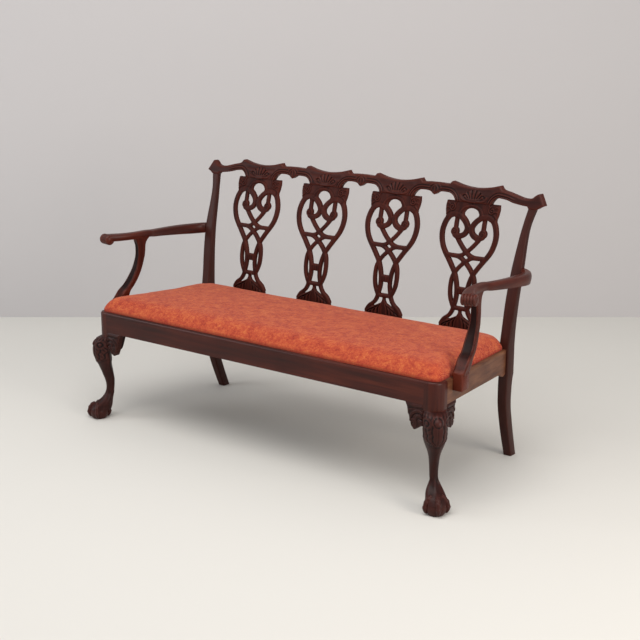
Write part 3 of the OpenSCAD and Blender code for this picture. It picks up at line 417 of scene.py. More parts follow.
def mark_hollows(mesh, reach, size):
    """Writes the attribute hollow: above 0 in a hollow, below 0 on a ridge. size is in millimetres."""
    n, place = len(mesh.vertices), places(mesh)
    normal, ends = read_all(mesh.vertices, "normal", 3), read_all(mesh.edges, "vertices", 2, int)
    degree = np.maximum(np.bincount(ends.ravel(), minlength=n), 1)
    even = place.copy()
    for _ in range(reach):
        even = np.stack([(np.bincount(ends[:, 0], even[ends[:, 1], k], n)
                          + np.bincount(ends[:, 1], even[ends[:, 0], k], n)) / degree for k in range(3)], 1)
    depth = ((even - place) * normal).sum(1) / (size * 0.001)
    made = mesh.attributes.new("hollow", "FLOAT", "POINT")
    made.data.foreach_set("value", np.clip(depth, -1, 1).astype(np.float32))
    return mesh


def mirrored_copy(name, piece):
    mesh = piece.data.copy()
    mesh.name = name
    mesh.vertices.foreach_set("co", (places(mesh) * [-1, 1, 1]).ravel())
    mesh.flip_normals()
    return stand(name, mesh)


def dress(piece, body, node):
    """The piece moves with a body and stands for a solid."""
    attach(piece, body)
    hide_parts(node)
    print(f"{piece.name}: {len(piece.data.polygons)} faces")


def dress_pair(node, kind, mesh):
    """Stands the right piece and its mirror image. The solid's name has {} for the side."""
    right = stand(f"{node.format('right')}_{kind}", mesh)
    dress(mirrored_copy(f"{node.format('left')}_{kind}", right), "frame", node.format("left"))
    dress(right, "frame", node.format("right"))


box = loft([level_ring([[0, 0], [1, 0], [1, 1], [0, 1]], z) for z in (0, 1)])
print("a box made by loft:", len(box[0]), "points,", len(box[1]), "faces")

# %% [markdown]
# Geometry Nodes make what repeats. A small builder keeps each tree short: `tree_of` opens a tree with
# named inputs, `run_tree` puts it on a mesh, sets the inputs by their identifiers, and hands back the
# evaluated result as a plain mesh.

# %% Geometry Nodes tools
KINDS = {"float": "NodeSocketFloat", "int": "NodeSocketInt", "material": "NodeSocketMaterial"}


def tree_of(name, **inputs):
    """A new tree, and the sockets of its inputs."""
    tree = bpy.data.node_groups.new(name, "GeometryNodeTree")
    for way in ("INPUT", "OUTPUT"):
        tree.interface.new_socket("Geometry", in_out=way, socket_type="NodeSocketGeometry")
    for label, kind in {**inputs, "Material": "material"}.items():
        tree.interface.new_socket(label.replace("_", " "), in_out="INPUT", socket_type=KINDS[kind])
    return tree, tree.nodes.new("NodeGroupInput").outputs


def end_tree(tree, given, geometry):
    real = add_node(tree, "GeometryNodeRealizeInstances", Geometry=geometry).outputs[0]
    painted = add_node(tree, "GeometryNodeSetMaterial", Geometry=real, Material=given["Material"]).outputs[0]
    tree.links.new(painted, tree.nodes.new("NodeGroupOutput").inputs["Geometry"])


def row_of(tree, count, axis, spacing, instance):
    """Copies of an instance, a spacing apart along an axis."""
    gap = add_node(tree, "ShaderNodeCombineXYZ", **{axis: spacing}).outputs[0]
    row = add_node(tree, "GeometryNodeMeshLine", Count=count, Offset=gap).outputs[0]
    return add_node(tree, "GeometryNodeInstanceOnPoints", Points=row, Instance=instance).outputs[0]


def run_tree(name, tree, base, **values):
    """The mesh that the tree makes from the base mesh."""
    holder = stand(name + "_holder", base)
    modifier = holder.modifiers.new("tree", "NODES")
    modifier.node_group = tree
    for item in tree.interface.items_tree:
        key = item.name.replace(" ", "_")
        if item.in_out == "INPUT" and key in values:
            modifier[item.identifier] = values[key]
    bpy.context.view_layer.update()
    mesh = bpy.data.meshes.new_from_object(holder.evaluated_get(bpy.context.evaluated_depsgraph_get()))
    mesh.name = name
    bpy.data.objects.remove(holder)
    return mesh


print("a tree's inputs can be:", ", ".join(KINDS))

# %% [markdown]
# A carved panel, such as a splat, is a flat board with an outline cut through it and relief cut into
# its face. The tool below works on a fine grid. `field` says how far each grid point is outside the
# wood, below 0 inside it, so the outline is where it is 0. `front` says how high the face stands.
# Each grid square is cut along the outline, which gives a face, a back and the wall between them.

# %% Distances in the plane of a panel
def plane(x0, x1, z0, z1, cell):
    return np.meshgrid(np.arange(x0, x1 + cell, cell), np.arange(z0, z1 + cell, cell))


def along(X, Z, line):
    """How far each point is from a line, and how far along the line its nearest place is."""
    best, where = np.full(X.shape, 1e9), np.zeros(X.shape)
    for k in range(len(line) - 1):
        a, d = line[k], line[k + 1] - line[k]
        t = np.clip(((X - a[0]) * d[0] + (Z - a[1]) * d[1]) / max(d @ d, 1e-9), 0, 1)
        r = np.hypot(X - a[0] - t * d[0], Z - a[1] - t * d[1])
        near = r < best
        best, where = np.where(near, r, best), np.where(near, (k + t) / (len(line) - 1), where)
    return best, where


def outline_field(X, Z, outline):
    """Below 0 inside a closed outline, above 0 outside it."""
    outline = np.asarray(outline, float)
    odd = np.zeros(X.shape, bool)
    for a, b in zip(outline, np.roll(outline, -1, 0)):
        level = np.where(abs(b[1] - a[1]) < 1e-12, 1e-12, b[1] - a[1])
        odd ^= ((a[1] > Z) != (b[1] > Z)) & (X < (b[0] - a[0]) * (Z - a[1]) / level + a[0])
    distance, _ = along(X, Z, np.vstack([outline, outline[:1]]))
    return np.where(odd, -distance, distance)


def bulge(value, middle, half):
    """A round profile: 1 at the middle, 0 from half to either side of it."""
    return np.sqrt(np.clip(1 - ((value - middle) / half) ** 2, 0, 1))


def ridge(X, Z, line, width, height, taper=0.0):
    """A raised rib of round section along a line, thinner towards both ends where taper is above 0."""
    distance, t = along(X, Z, np.asarray(line, float))
    half = width / 2 * (1 - taper * np.abs(2 * t - 1) ** 2)
    return height * bulge(distance, 0, np.maximum(half, 0.1))


def eased_edge(field, top, fall, reach):
    """The height of a flat face that falls off towards its outline."""
    return top - fall * np.exp(-np.clip(-field, 0, None) / reach)


def carve(relief, X, Z, strokes, put):
    """Adds strokes of (points, width, height, taper). One with a height below 0 is cut in."""
    for points, width, height, taper in strokes:
        relief += ridge(X, Z, put(points), width, height, taper)


def spiral(x, z, radius, start, turns, n=40, flip=1):
    a = np.linspace(0, turns * 2 * math.pi, n)
    r = radius * (1 - 0.82 * a / a[-1])
    return np.stack([x + flip * r * np.cos(a + start), z + r * np.sin(a + start)], 1)


def blur(H, times=1):
    for _ in range(times):
        P = np.pad(H, 1, mode="edge")
        H = (4 * P[1:-1, 1:-1] + 2 * (P[:-2, 1:-1] + P[2:, 1:-1] + P[1:-1, :-2] + P[1:-1, 2:])
             + P[:-2, :-2] + P[:-2, 2:] + P[2:, :-2] + P[2:, 2:]) / 16
    return H


square = [[-1, -1], [1, -1], [1, 1], [-1, 1]]
print("field in the middle of a square and past its side:", outline_field(np.array([0, 3.0]), np.zeros(2), square))

# %% Cut a carved panel out of its grid
def carved_panel(X, Z, field, front, back, put):
    """(points, faces): put turns the panel's x, z and height into places in millimetres."""
    nz, nx = X.shape
    value = np.stack([X, Z, front, np.broadcast_to(back, X.shape)], 2)

    def crossing(fa, fb, va, vb):
        with np.errstate(divide="ignore", invalid="ignore"):
            t = np.where(fa * fb < 0, fa / (fa - fb), 0.5)[..., None]
        return va + np.nan_to_num(t) * (vb - va)

    across = crossing(field[:, :-1], field[:, 1:], value[:, :-1], value[:, 1:])
    upward = crossing(field[:-1], field[1:], value[:-1], value[1:])
    values = np.vstack([value.reshape(-1, 4), across.reshape(-1, 4), upward.reshape(-1, 4)])
    first_across, first_up = nz * nx, nz * nx + nz * (nx - 1)
    inside = field < 0
    total = len(values)
    faces = []
    touched = inside[:-1, :-1] | inside[1:, :-1] | inside[:-1, 1:] | inside[1:, 1:]
    for j, i in zip(*np.nonzero(touched)):
        corner = [(j, i), (j, i + 1), (j + 1, i + 1), (j + 1, i)]
        side = [first_across + j * (nx - 1) + i, first_up + j * nx + i + 1,
                first_across + (j + 1) * (nx - 1) + i, first_up + j * nx + i]
        walk = []
        for k in range(4):
            here, ahead = inside[corner[k]], inside[corner[(k + 1) % 4]]
            if here:
                walk.append((corner[k][0] * nx + corner[k][1], False))
            if here != ahead:
                walk.append((side[k], True))
        faces.append([p for p, _ in walk])
        faces.append([p + total for p, _ in reversed(walk)])
        for (a, cut_a), (b, cut_b) in zip(walk, walk[1:] + walk[:1]):
            if cut_a and cut_b:
                faces.append([b, a, a + total, b + total])
    front_points = put(values[:, 0], values[:, 1], values[:, 2])
    back_points = put(values[:, 0], values[:, 1], values[:, 3])
    points = np.vstack([front_points, back_points])
    used = np.unique(np.concatenate([np.array(f) for f in faces]))
    place = np.full(len(points), -1)
    place[used] = np.arange(len(used))
    return points[used], [[int(place[p]) for p in f] for f in faces]


def on_back(x, z, out):
    """The back's curve: out is the height in front of its middle surface."""
    return np.stack([x, back_y(z, out), z], 1)


print("panel tools ready")

# %% [markdown]
# Each splat is pierced strapwork: rounded bands that rise from the shoe, cross, loop over at the
# top and end in small round bosses, under two scrolled shoulders. Where two bands cross, one is
# carved lower. Every band has its own field and its own height, and the higher one wins, so the
# crossings come out as over and under by themselves.

# %% Lines of a splat, as shares of the pitch and of the splat's height
SHOULDER = [[0, 1.02], [0.327, 1.02], [0.327, 1], [0.334, 0.963], [0.328, 0.923], [0.315, 0.888],
            [0.316, 0.872], [0.262, 0.892], [0.205, 0.9], [0.14, 0.892], [0.09, 0.872], [0.05, 0.85],
            [0, 0.838]]
ARCH_HOLE = [[0, 0.958], [0.04, 0.953], [0.073, 0.94], [0.094, 0.917], [0.092, 0.89], [0.06, 0.85], [0, 0.81]]
OUTER = [[0.21, 0.9], [0.262, 0.885], [0.303, 0.846], [0.328, 0.792], [0.334, 0.746], [0.325, 0.697], [0.301, 0.645],
         [0.263, 0.599], [0.215, 0.553], [0.164, 0.502], [0.113, 0.445], [0.081, 0.384], [0.063, 0.318],
         [0.063, 0.252], [0.081, 0.189], [0.101, 0.143], [0.137, 0.105], [0.197, 0.072], [0.233, 0.033]]
BOW = [[0.239, 0.581], [0.173, 0.58], [0.113, 0.579], [0.06, 0.568], [0, 0.539], [-0.06, 0.5],
       [-0.113, 0.45], [-0.14, 0.406], [-0.149, 0.346], [-0.146, 0.292], [-0.134, 0.248], [-0.11, 0.206],
       [-0.087, 0.175]]
TIE = [[-0.155, 0.748], [-0.131, 0.717], [-0.09, 0.68], [-0.048, 0.647], [0, 0.616], [0.054, 0.59],
       [0.113, 0.58], [0.173, 0.58], [0.239, 0.581]]
LOOP = [[-0.262, 0.885], [-0.21, 0.9], [-0.155, 0.896], [-0.105, 0.879], [-0.058, 0.848], [-0.03, 0.814],
        [-0.029, 0.786], [-0.05, 0.757], [-0.09, 0.738], [-0.135, 0.733], [-0.167, 0.742]]
MOUND = [[0, -0.02], [0, 0.16], [0.015, 0.16], [0.018, 0.134], [0.036, 0.112], [0.078, 0.096],
         [0.119, 0.083], [0.185, 0.068], [0.227, 0.042], [0.251, 0.018], [0.251, -0.02]]
BOSS, SCROLL = [-0.173, 0.768], [0.245, 0.955]


def in_splat(shares, side=1):
    return np.array([[side * s[0] * PITCH, SHOE_TOP + s[1] * SPLAT_H] for s in shares])


print("middle of the outer strap at its widest:", round(in_splat(OUTER)[:, 0].max()), "mm from the splat's middle")

# %% Relief of a splat
SPLAT_FRONT, SPLAT_BACK = 7.0, -7.0
FAR = 1e3  # a field's value well outside the wood


class Relief:
    """Fields and heights laid over each other."""

    def __init__(self, X, Z):
        self.X, self.Z = X, Z
        self.field, self.height = np.full(X.shape, FAR), np.full(X.shape, -FAR)

    def add(self, field, height):
        self.field = np.minimum(self.field, field)
        self.height = np.maximum(self.height, height - 5 * np.clip(field, 0, None))

    def band(self, line, w0, w1, top, crown=2.6):
        """A rounded band from one width to another. top gives its height along the line."""
        line = smooth(line, 5)
        distance, t = along(self.X, self.Z, line)
        half = (w0 + (w1 - w0) * t) / 2
        s = np.clip(distance / half, 0, 1)
        self.add(distance - half, top(t) - crown * (1 - np.sqrt(1 - s ** 3.0)))

    def disc(self, x, z, r, top, crown=3.0):
        d = np.hypot(self.X - x, self.Z - z)
        self.add(d - r, top - crown * (1 - np.sqrt(1 - np.clip(d / r, 0, 1) ** 2.4)))


def bar_field(X, Z, x0, x1, z0, z1):
    return np.maximum(np.abs(X - (x0 + x1) / 2) - (x1 - x0) / 2, np.abs(Z - (z0 + z1) / 2) - (z1 - z0) / 2)


X, Z = plane(-0.385 * PITCH, 0.385 * PITCH, SHOE_TOP - 2, CREST_Z, cell=1.5)
splat = Relief(X, Z)
for side in (1, -1):
    shoulder, arch = (outline_field(X, Z, in_splat(line, side)) for line in (SHOULDER, ARCH_HOLE))
    board = np.where(side * X < -0.5, FAR, np.maximum(shoulder, -arch))
    splat.add(board, eased_edge(board, 4.2, 1.6, 1.8))
    for line, w0, w1, top in ((OUTER, 20, 14, lambda t: 5.9 - 0.9 * side * np.cos(t * 9)),
                              (BOW, 15, 15, lambda t: 6.0 + 1.0 * side * np.cos(t * math.pi * 1.6)),
                              (TIE, 15, 15, lambda t: 5.8 - side * 1.0 * np.cos(t * math.pi * 1.2)),
                              (LOOP, 20, 20, lambda t: 6.6)):
        splat.band(in_splat(line, side), w0, w1, top)
    splat.disc(*in_splat([BOSS], side)[0], 16, 6.4)
    x0, x1 = sorted((side * 0.149 * PITCH, side * 0.194 * PITCH))
    splat.add(bar_field(X, Z, x0, x1, SHOE_TOP + 0.768 * SPLAT_H, SHOE_TOP + 0.885 * SPLAT_H), 4.4 + 0 * X)
    mound = np.where(side * X < -0.5, FAR, outline_field(X, Z, in_splat(MOUND, side)))
    splat.add(mound, eased_edge(mound, 5.6, 2.2, 2.5))
for half, low, high in ((0.066, 0.285, 0.342), (0.098, 0.156, 0.189)):
    collar = bar_field(X, Z, -half * PITCH, half * PITCH, SHOE_TOP + low * SPLAT_H, SHOE_TOP + high * SPLAT_H)
    splat.add(collar, eased_edge(collar, 6.9, 2.4, 1.6))
print("splat grid:", X.shape, "solid share:", round(float((splat.field < 0).mean()), 2))

# %% Carving on the shoulders, bosses and mound
relief = blur(splat.height, 1)
for side in (1, -1):
    def on_side(points):
        return smooth(in_splat(points, side), 6)
    relief += ridge(X, Z, spiral(*in_splat([SCROLL], side)[0], 14, math.pi * 0.6, 1.5, flip=side), 5.0, 2.2)
    carve(relief, X, Z, [([[0.27, 0.97], [0.3, 0.985], [0.325, 0.975]], 6, 1.8, 0.6),
                         ([[0.275, 0.945], [0.3, 0.95], [0.322, 0.94]], 6, 1.8, 0.6),
                         ([[0.27, 0.925], [0.295, 0.915], [0.315, 0.895]], 6, 1.8, 0.6),
                         ([[0.2, 1.0], [0.21, 0.985], [0.222, 0.975]], 6, 1.6, 0),
                         ([[0, 0.978], [0.06, 0.971], [0.11, 0.95], [0.145, 0.91]], 9, 1.6, 0)], on_side)
    relief -= ridge(X, Z, spiral(*in_splat([BOSS], side)[0], 11, 0.4, 1.2, flip=-side), 3.2, 1.5)
    for k in range(4):  # the leaves of the mound, and the cuts between them
        u, cut = 0.045 + 0.045 * k, 0.045 + 0.045 * k + 0.022
        leaf = [[u * 0.55, 0.1 - 0.012 * k], [u, 0.065 - 0.01 * k], [u * 1.05, 0.02]]
        gap = [[cut * 0.6, 0.098 - 0.012 * k], [cut, 0.06 - 0.01 * k], [cut * 1.05, 0.0]]
        carve(relief, X, Z, [(leaf, 7, 2.0, 0.5), (gap, 6, -4.6, 0.3)], on_side)
veins = [([[0.032 * k, 0.29], [0.032 * k, 0.337]], 3, -1.2, 0) for k in (-1, 0, 1)]
carve(relief, X, Z, [([[0, 0.15], [0, 0.02]], 7, 1.2, 0.4), *veins], in_splat)
front = np.clip(relief, -1.0, SPLAT_FRONT)
panel = carved_panel(X, Z, splat.field, front, SPLAT_BACK, on_back)
splat_mesh = shape("carved_splat", *panel, carved_wood, sharp=50)
mark_hollows(splat_mesh, reach=5, size=0.75)
print("one splat:", len(splat_mesh.polygons), "faces")

# %% [markdown]
# The four splats are one pattern, repeated at the pitch of the chair backs. A Geometry Nodes tree
# with the chair's number as an input moves the carved board to its place, so the spacing is written
# once. It runs once for each splat, because each splat is a piece with its own name.

# %% Four splats from one carved board
chair_tree, given = tree_of("chair_place", Chair="int", Chairs="int", Pitch="float")
middle = maths(chair_tree, "MULTIPLY", maths(chair_tree, "SUBTRACT", given["Chairs"], 1), 0.5)
reach = maths(chair_tree, "MULTIPLY", maths(chair_tree, "SUBTRACT", given["Chair"], middle), given["Pitch"])
place = add_node(chair_tree, "ShaderNodeCombineXYZ", X=reach).outputs[0]
moved = add_node(chair_tree, "GeometryNodeTransform", Geometry=given[0], Translation=place).outputs[0]
end_tree(chair_tree, given, moved)
for i in range(CHAIRS):
    board = run_tree(f"carved_splat_{i + 1}", chair_tree, splat_mesh, Chair=i, Chairs=CHAIRS,
                     Pitch=PITCH / 1000, Material=carved_wood)
    dress(stand(f"carved_splat_{i + 1}", board), "frame", f"splat_{i + 1}")

# %% [markdown]
# The crest rail runs over all four backs. Over each back it dips as a saddle between two pointed
# ears, with a five-lobed shell under the dip. From each ear two ribs sweep down in a C along the
# arch. Between two backs a small leaf hangs in a cusp. The same panel tool carves it.

# %% Outline of the crest rail
SADDLE = [[0, 0.757], [0.09, 0.787], [0.179, 0.853], [0.239, 0.926], [0.299, 1]]
LINK = [[0.322, 0.868], [0.34, 0.824], [0.403, 0.838], [0.5, 0.846]]
ARCH = [[0.5, 0.206], [0.478, 0.265], [0.448, 0.368], [0.403, 0.412], [0.343, 0.412], [0.293, 0.375],
        [0.257, 0.265], [0.233, 0.118], [0.224, 0]]
END_TOP = [[0.299, 1], [0.334, 0.809], [0.409, 0.721], [0.469, 0.647], [0.528, 0.574], [0.588, 0.507],
           [0.648, 0.493], [0.693, 0.544], [0.722, 0.662], [0.752, 0.765], [0.781, 0.794]]
END_TIP = [[0.852, 0.221], [0.812, 0.147], [0.776, 0.029]]
END_ARCH = [[0.654, 0.118], [0.588, 0.147], [0.528, 0.184], [0.469, 0.235], [0.409, 0.324],
            [0.343, 0.368], [0.293, 0.375], [0.257, 0.265], [0.233, 0.118], [0.224, 0]]
POST_TOP = 756.9, 727.1  # where the rear post's sides meet the crest


def in_crest(shares, i, side=1, n=4):
    return smooth([[chair_x(i) + side * s[0] * PITCH, CREST_Z + s[1] * CREST_H] for s in shares], n)


top_line = [in_crest(LINK, 2, -1)[::-1], in_crest(SADDLE, 2, -1)[::-1], in_crest(SADDLE, 2), in_crest(LINK, 2),
            in_crest(LINK, 3, -1)[::-1], in_crest(SADDLE, 3, -1)[::-1], in_crest(SADDLE, 3),
            in_crest(END_TOP, 3), in_crest(END_TIP, 3)]
under_line = [np.array([[x, CREST_Z] for x in POST_TOP]), in_crest(END_ARCH, 3), in_crest(ARCH, 3, -1)[::-1],
              in_crest(ARCH, 2), in_crest(ARCH, 2, -1)[::-1]]
half_line = np.vstack(top_line + under_line)
crest_outline = np.vstack([half_line, half_line[::-1] * [-1, 1]])
print("crest outline:", len(crest_outline), "points")

# %% Relief of the crest rail
X, Z = plane(0, 805, CREST_Z - 3, BACK_H + 3, cell=1.6)
field = outline_field(X, Z, crest_outline)
relief = eased_edge(field, 9.4, 3.4, 2.2)
for i in (2, 3):
    x = X - chair_x(i)
    saddle = step(0.26 * PITCH, 0.18 * PITCH, np.abs(x)) * step(CREST_Z + 30, CREST_Z + 46, Z)
    relief -= 1.6 * saddle * np.sin(np.clip((Z - CREST_Z - 30) / 24, 0, 1) * math.pi)
    for side in (1, -1):
        edge = in_crest(END_ARCH if (i == 3 and side == 1) else ARCH, i, side)
        distance, t = along(X, Z, edge)
        fade = step(0.2, 0.45, t) * (side * x > 0.17 * PITCH)
        for middle, half_w, high in ((4.0, 3.2, 2.6), (12.0, 3.4, 2.2), (8.0, 1.8, -2.2), (17.0, 2.4, -1.6)):
            relief += fade * high * bulge(distance, middle, half_w)
        strokes = [([[0.24, 0.9], [0.299, 0.96]], 6, 1.2, 0.5)]
        if not (i == 3 and side == 1):
            strokes += [([[0.49, 0.72], [0.465, 0.6], [0.455, 0.46]], 6.5, 1.8, 0.4),
                        ([[0.47, 0.78], [0.435, 0.68], [0.415, 0.55]], 6.5, 1.8, 0.4),
                        ([[0.478, 0.8], [0.452, 0.62], [0.442, 0.5]], 2.4, -1.4, 0)]
        carve(relief, X, Z, strokes, lambda points: in_crest(points, i, side))
    stem = [([[0.5, 0.74], [0.5, 0.5], [0.5, 0.26]], 7, 2.2, 0.4)] if i == 2 else []
    lobes = [([[0.02 * k, 0.08], [0.036 * k, 0.3 - 0.02 * abs(k)], [0.047 * k, 0.56 - 0.05 * k * k]], 15, 2.0, -0.2)
             for k in (-2, -1, 0, 1, 2)]
    cuts = [([[0.03 * gap, 0.24], [0.042 * gap, 0.38], [0.052 * gap, 0.6 - 0.045 * gap * gap]], 5.5, -3.4, -0.35)
            for gap in (-2.5, -1.5, -0.5, 0.5, 1.5, 2.5)]
    carve(relief, X, Z, stem + lobes + cuts, lambda points: in_crest(points, i))
    for side in (1, -1):
        carve(relief, X, Z, [([[0.02, 0.07], [0.1, 0.09], [0.15, 0.2], [0.165, 0.36]], 7, 1.7, 0.4),
                             ([[0.03, 0.14], [0.09, 0.17], [0.128, 0.3]], 3.5, -1.6, 0.4)],
              lambda points: in_crest(points, i, side))
    carve(relief, X, Z, stem, lambda points: in_crest(points, i, -1))
front = np.clip(blur(relief, 1), 1.0, CREST_T / 2)
X, Z, field, front = (np.hstack([sign * a[:, :0:-1], a]) for sign, a in ((-1, X), (1, Z), (1, field), (1, front)))
panel = carved_panel(X, Z, field, front, -CREST_T / 2, on_back)
crest_mesh = shape("carved_crest_rail", *panel, crest_wood, sharp=50)
mark_hollows(crest_mesh, reach=5, size=0.6)
dress(stand("carved_crest_rail", crest_mesh), "frame", "crest_rail")

# %% [markdown]
# The rear posts are each one long board, raked backwards below the seat and bent with the back above
# it. Seen from the front they swell above the seat and thin towards the crest. A loft of rounded
# rectangles follows the same four edge lines as the solid, with softened corners all the way up.

# %% Rear posts
LOW = dict(z=[0, 0.206, 0.43, 0.647, 0.88, 1], x=[0.091, 0.1, 0.109, 0.117, 0.127, 0.133],
           w=[0.74, 0.785, 0.83, 0.85, 0.87, 0.88], rake=[1, 0.66, 0.34, 0.1, 0.007, 0],
           d=[0.815, 0.83, 0.83, 0.84, 0.9, 1])
HIGH = dict(z=[0, 0.148, 0.355, 0.563, 0.77, 0.886, 1], x=[0.133, 0.137, 0.149, 0.164, 0.172, 0.185, 0.215],
            w=[0.88, 0.93, 1, 0.95, 0.69, 0.62, 0.71], ahead=[0, 0.67, 0.59, 0.5, 0.36, 0.28, 0.23],
            behind=[0, 0.11, 0.02, 0.04, 0.16, 0.2, 0.27])
RAKE = 76
LOW_TOP = SEAT_H - SEAT_FALL - RAIL_H - 13
BACKS_HALF = CHAIRS * PITCH / 2
SEAT_POST_X, SEAT_POST_W = BACKS_HALF + 0.133 * PITCH, 0.88 * POST_W  # the post where it meets the seat


def rounded_ring(x0, x1, y0, y1, z, r=4.5, n=5):
    ring = []
    for cx, cy, a0 in ((x1 - r, y1 - r, 0), (x0 + r, y1 - r, 90), (x0 + r, y0 + r, 180), (x1 - r, y0 + r, 270)):
        for k in range(n):
            a = math.radians(a0 + 90 * k / (n - 1))
            ring.append([cx + r * math.cos(a), cy + r * math.sin(a), z])
    return ring


low = [[z * LOW_TOP, BACKS_HALF + x * PITCH, w * POST_W, POST_Y + RAKE * rake, POST_Y + RAKE * rake + d * POST_D]
       for z, x, w, rake, d in zip(*LOW.values())]
high = []
for share, x, w, ahead, behind in zip(*HIGH.values()):
    z = SEAT_H + share * (CREST_Z - SEAT_H)
    y0, y1 = (back_y(z) - ahead * POST_D, back_y(z) + behind * POST_D) if share else (POST_Y, SEAT_D)
    high.append([z, BACKS_HALF + x * PITCH, w * POST_W, float(y0), float(y1)])
rows = np.vstack([smooth(low, 6), smooth(high, 6)])
rings = [rounded_ring(r[1] - r[2] / 2, r[1] + r[2] / 2, r[3], r[4], r[0]) for r in rows]
post_mesh = shape("rear_post_right_shaped", *loft(rings), shaded_post_wood, sharp=50)
mark_hollows(post_mesh, reach=3, size=0.8)
dress_pair("rear_post_{}", "shaped", post_mesh)

# %% [markdown]
# A cabriole leg swells at the knee, thins to the ankle and ends in a claw that grips a ball. It
# stands on the seat's corner along the diagonal. Rings are stacked along that diagonal and the skin
# between them is carved: a leaf with a boss at its head lies on the knee, and tendons run from the
# ankle into the four claws.

# %% Front leg: rings from the foot to the knee
KNEE = [[0, 0.03, 1.1, 0], [0.07, 0.04, 1.17, 0.02], [0.166, 0.14, 1.2, 0.085], [0.26, 0.3, 1.03, 0.17],
        [0.355, 0.46, 0.83, 0.36], [0.45, 0.64, 0.62, 0.68], [0.545, 0.8, 0.75, 0.95], [0.64, 0.956, 0.7, 1],
        [0.735, 1, 0.7, 1], [0.83, 0.956, 0.7, 1], [0.905, 0.8, 0.65, 1], [0.955, 0.6, 0.6, 0.99],
        [1.02, 0.1, 0.5, 0.9]]
SHIN = [[0.304, 2.14, 0.07, 2.48, 0.5], [0.4, 1.89, 0.2, 2.4, 0.47], [0.48, 1.58, 0.28, 2.34, 0.42],
        [0.57, 1.03, 0.38, 2.07, 0.33], [0.66, 0.6, 0.5, 1.69, 0.26], [0.75, 0.31, 0.65, 1.31, 0.16],
        [0.84, 0.14, 0.9, 1.02, 0.1]]
ANKLE_H, ANKLE, KNEE_OUT, KNEE_T, FOOT_OUT = 125, 14.5, 34, 76, 47
BALL_D, SOLE_D, CLAW_T = 80, 62, 20
CLAW_TURNS, TENDON_TURNS = (0, 78, -78, 180), (0, 62, -62, 180)  # degrees round from the leg's front
POST_LOW = SEAT_H - RAIL_H - 20
REAR_X = SEAT_POST_X + SEAT_POST_W / 2 - 9
SIDE = math.atan((SEAT_W / 2 - REAR_X) / POST_Y)
BALL_Z = math.sqrt(BALL_D ** 2 - SOLE_D ** 2) / 2
BLOCK_REACH, BLOCK_H, BLOCK_T, BLOCK_PROUD = 70, 88, 28, 4
BLOCK_SHARES = [[1, 0], [0.9, -0.182], [0.857, -0.352], [0.786, -0.523], [0.714, -0.693], [0.629, -0.864],
                [0.514, -1], [0.343, -0.955], [0.143, -0.835], [0, -0.82]]


def side_x(y, inset=0.0):
    return SEAT_W / 2 - y * math.tan(SIDE) - inset / math.cos(SIDE)


AXIS = np.array([side_x(30, 30), 30.0])
levels = [[up * ANKLE_H, ANKLE + out * (FOOT_OUT - ANKLE), back * ANKLE, half * ANKLE, share]
          for up, out, back, half, share in SHIN]
levels += [[ANKLE_H + up * (POST_LOW - ANKLE_H), ANKLE + out * (0.43 * LEG_POST + KNEE_OUT - ANKLE), back * ANKLE,
            ANKLE + half * (KNEE_T - 2 * ANKLE) / 2, 0.06] for up, out, back, half in KNEE]
levels = smooth(levels, 7)
AROUND = 112
angle = np.linspace(0, 2 * math.pi, AROUND, endpoint=False)


def diagonal(u, v, z):
    """Out along the leg's diagonal, across it, and up, as a place."""
    c = math.cos(math.pi / 4)
    return np.stack([AXIS[0] + (u + v) * c, AXIS[1] - (u - v) * c, z + 0 * u], -1)


def leaf_relief(a, z):
    """Carving on the knee: how far the skin stands out at an angle and a height."""
    turned = np.degrees((a + math.pi) % (2 * math.pi) - math.pi)
    side = np.abs(turned)
    on = step(222, 232, z) * step(338, 328, z) * step(112, 96, side)
    edge = 30 + 66 * step(226, 262, z) + 9 * np.cos(z / 5.6)
    h = 2.4 * step(edge + 7, edge - 3, side)
    spread = side / np.maximum(edge, 1)
    vein = bulge(np.abs(np.mod(spread * 3.4 + 0.5, 1) - 0.5), 0, 0.17)
    h -= 2.0 * vein * step(306, 290, z) * step(1.0, 0.9, spread)
    barb = step(0.1, 0.35, spread) * step(1.05, 0.95, spread)
    h += 0.5 * np.cos((z + 0.62 * side) / 2.7) * barb * step(300, 288, z)
    h += 1.6 * bulge(side, 0, 7) * step(302, 290, z)
    boss = np.hypot(turned / 17, (z - 310) / 12.5)
    h += 4.4 * bulge(boss, 0, 1) - 0.8 * bulge(boss, 1.14, 0.16)
    h += 1.5 * bulge(boss, 1.62, 0.26) * step(300, 306, z)
    curl = np.hypot((side - 58) / 26, (z - 305) / 17)
    scroll = 1.7 * bulge(curl, 0.85, 0.24) + 1.8 * bulge(curl, 0, 0.34) - 1.2 * bulge(curl, 0.5, 0.2)
    h += scroll * step(20, 34, side)
    h += 1.2 * np.cos(side / 3.1) * step(318, 323, z) * step(336, 330, z)
    return h * on


skin = []
for z, out, back, half, share in levels:
    mid = share * out
    d = np.where(np.cos(angle) > 0, mid + (out - mid) * np.cos(angle), mid + (mid + back) * np.cos(angle))
    t = half * np.sin(angle)
    tendon = sum(np.exp(-((np.degrees(angle) - c + 180) % 360 - 180) ** 2 / 2 / 13 ** 2) for c in TENDON_TURNS)
    h = leaf_relief(angle, z) + (tendon - 0.5) * 4.4 * step(34, 60, z) * step(118, 96, z)
    skin.append(diagonal(d + h * np.cos(angle), t + h * np.sin(angle), z))
leg_skin = loft(skin)
print("leg skin:", len(skin), "rings of", AROUND)

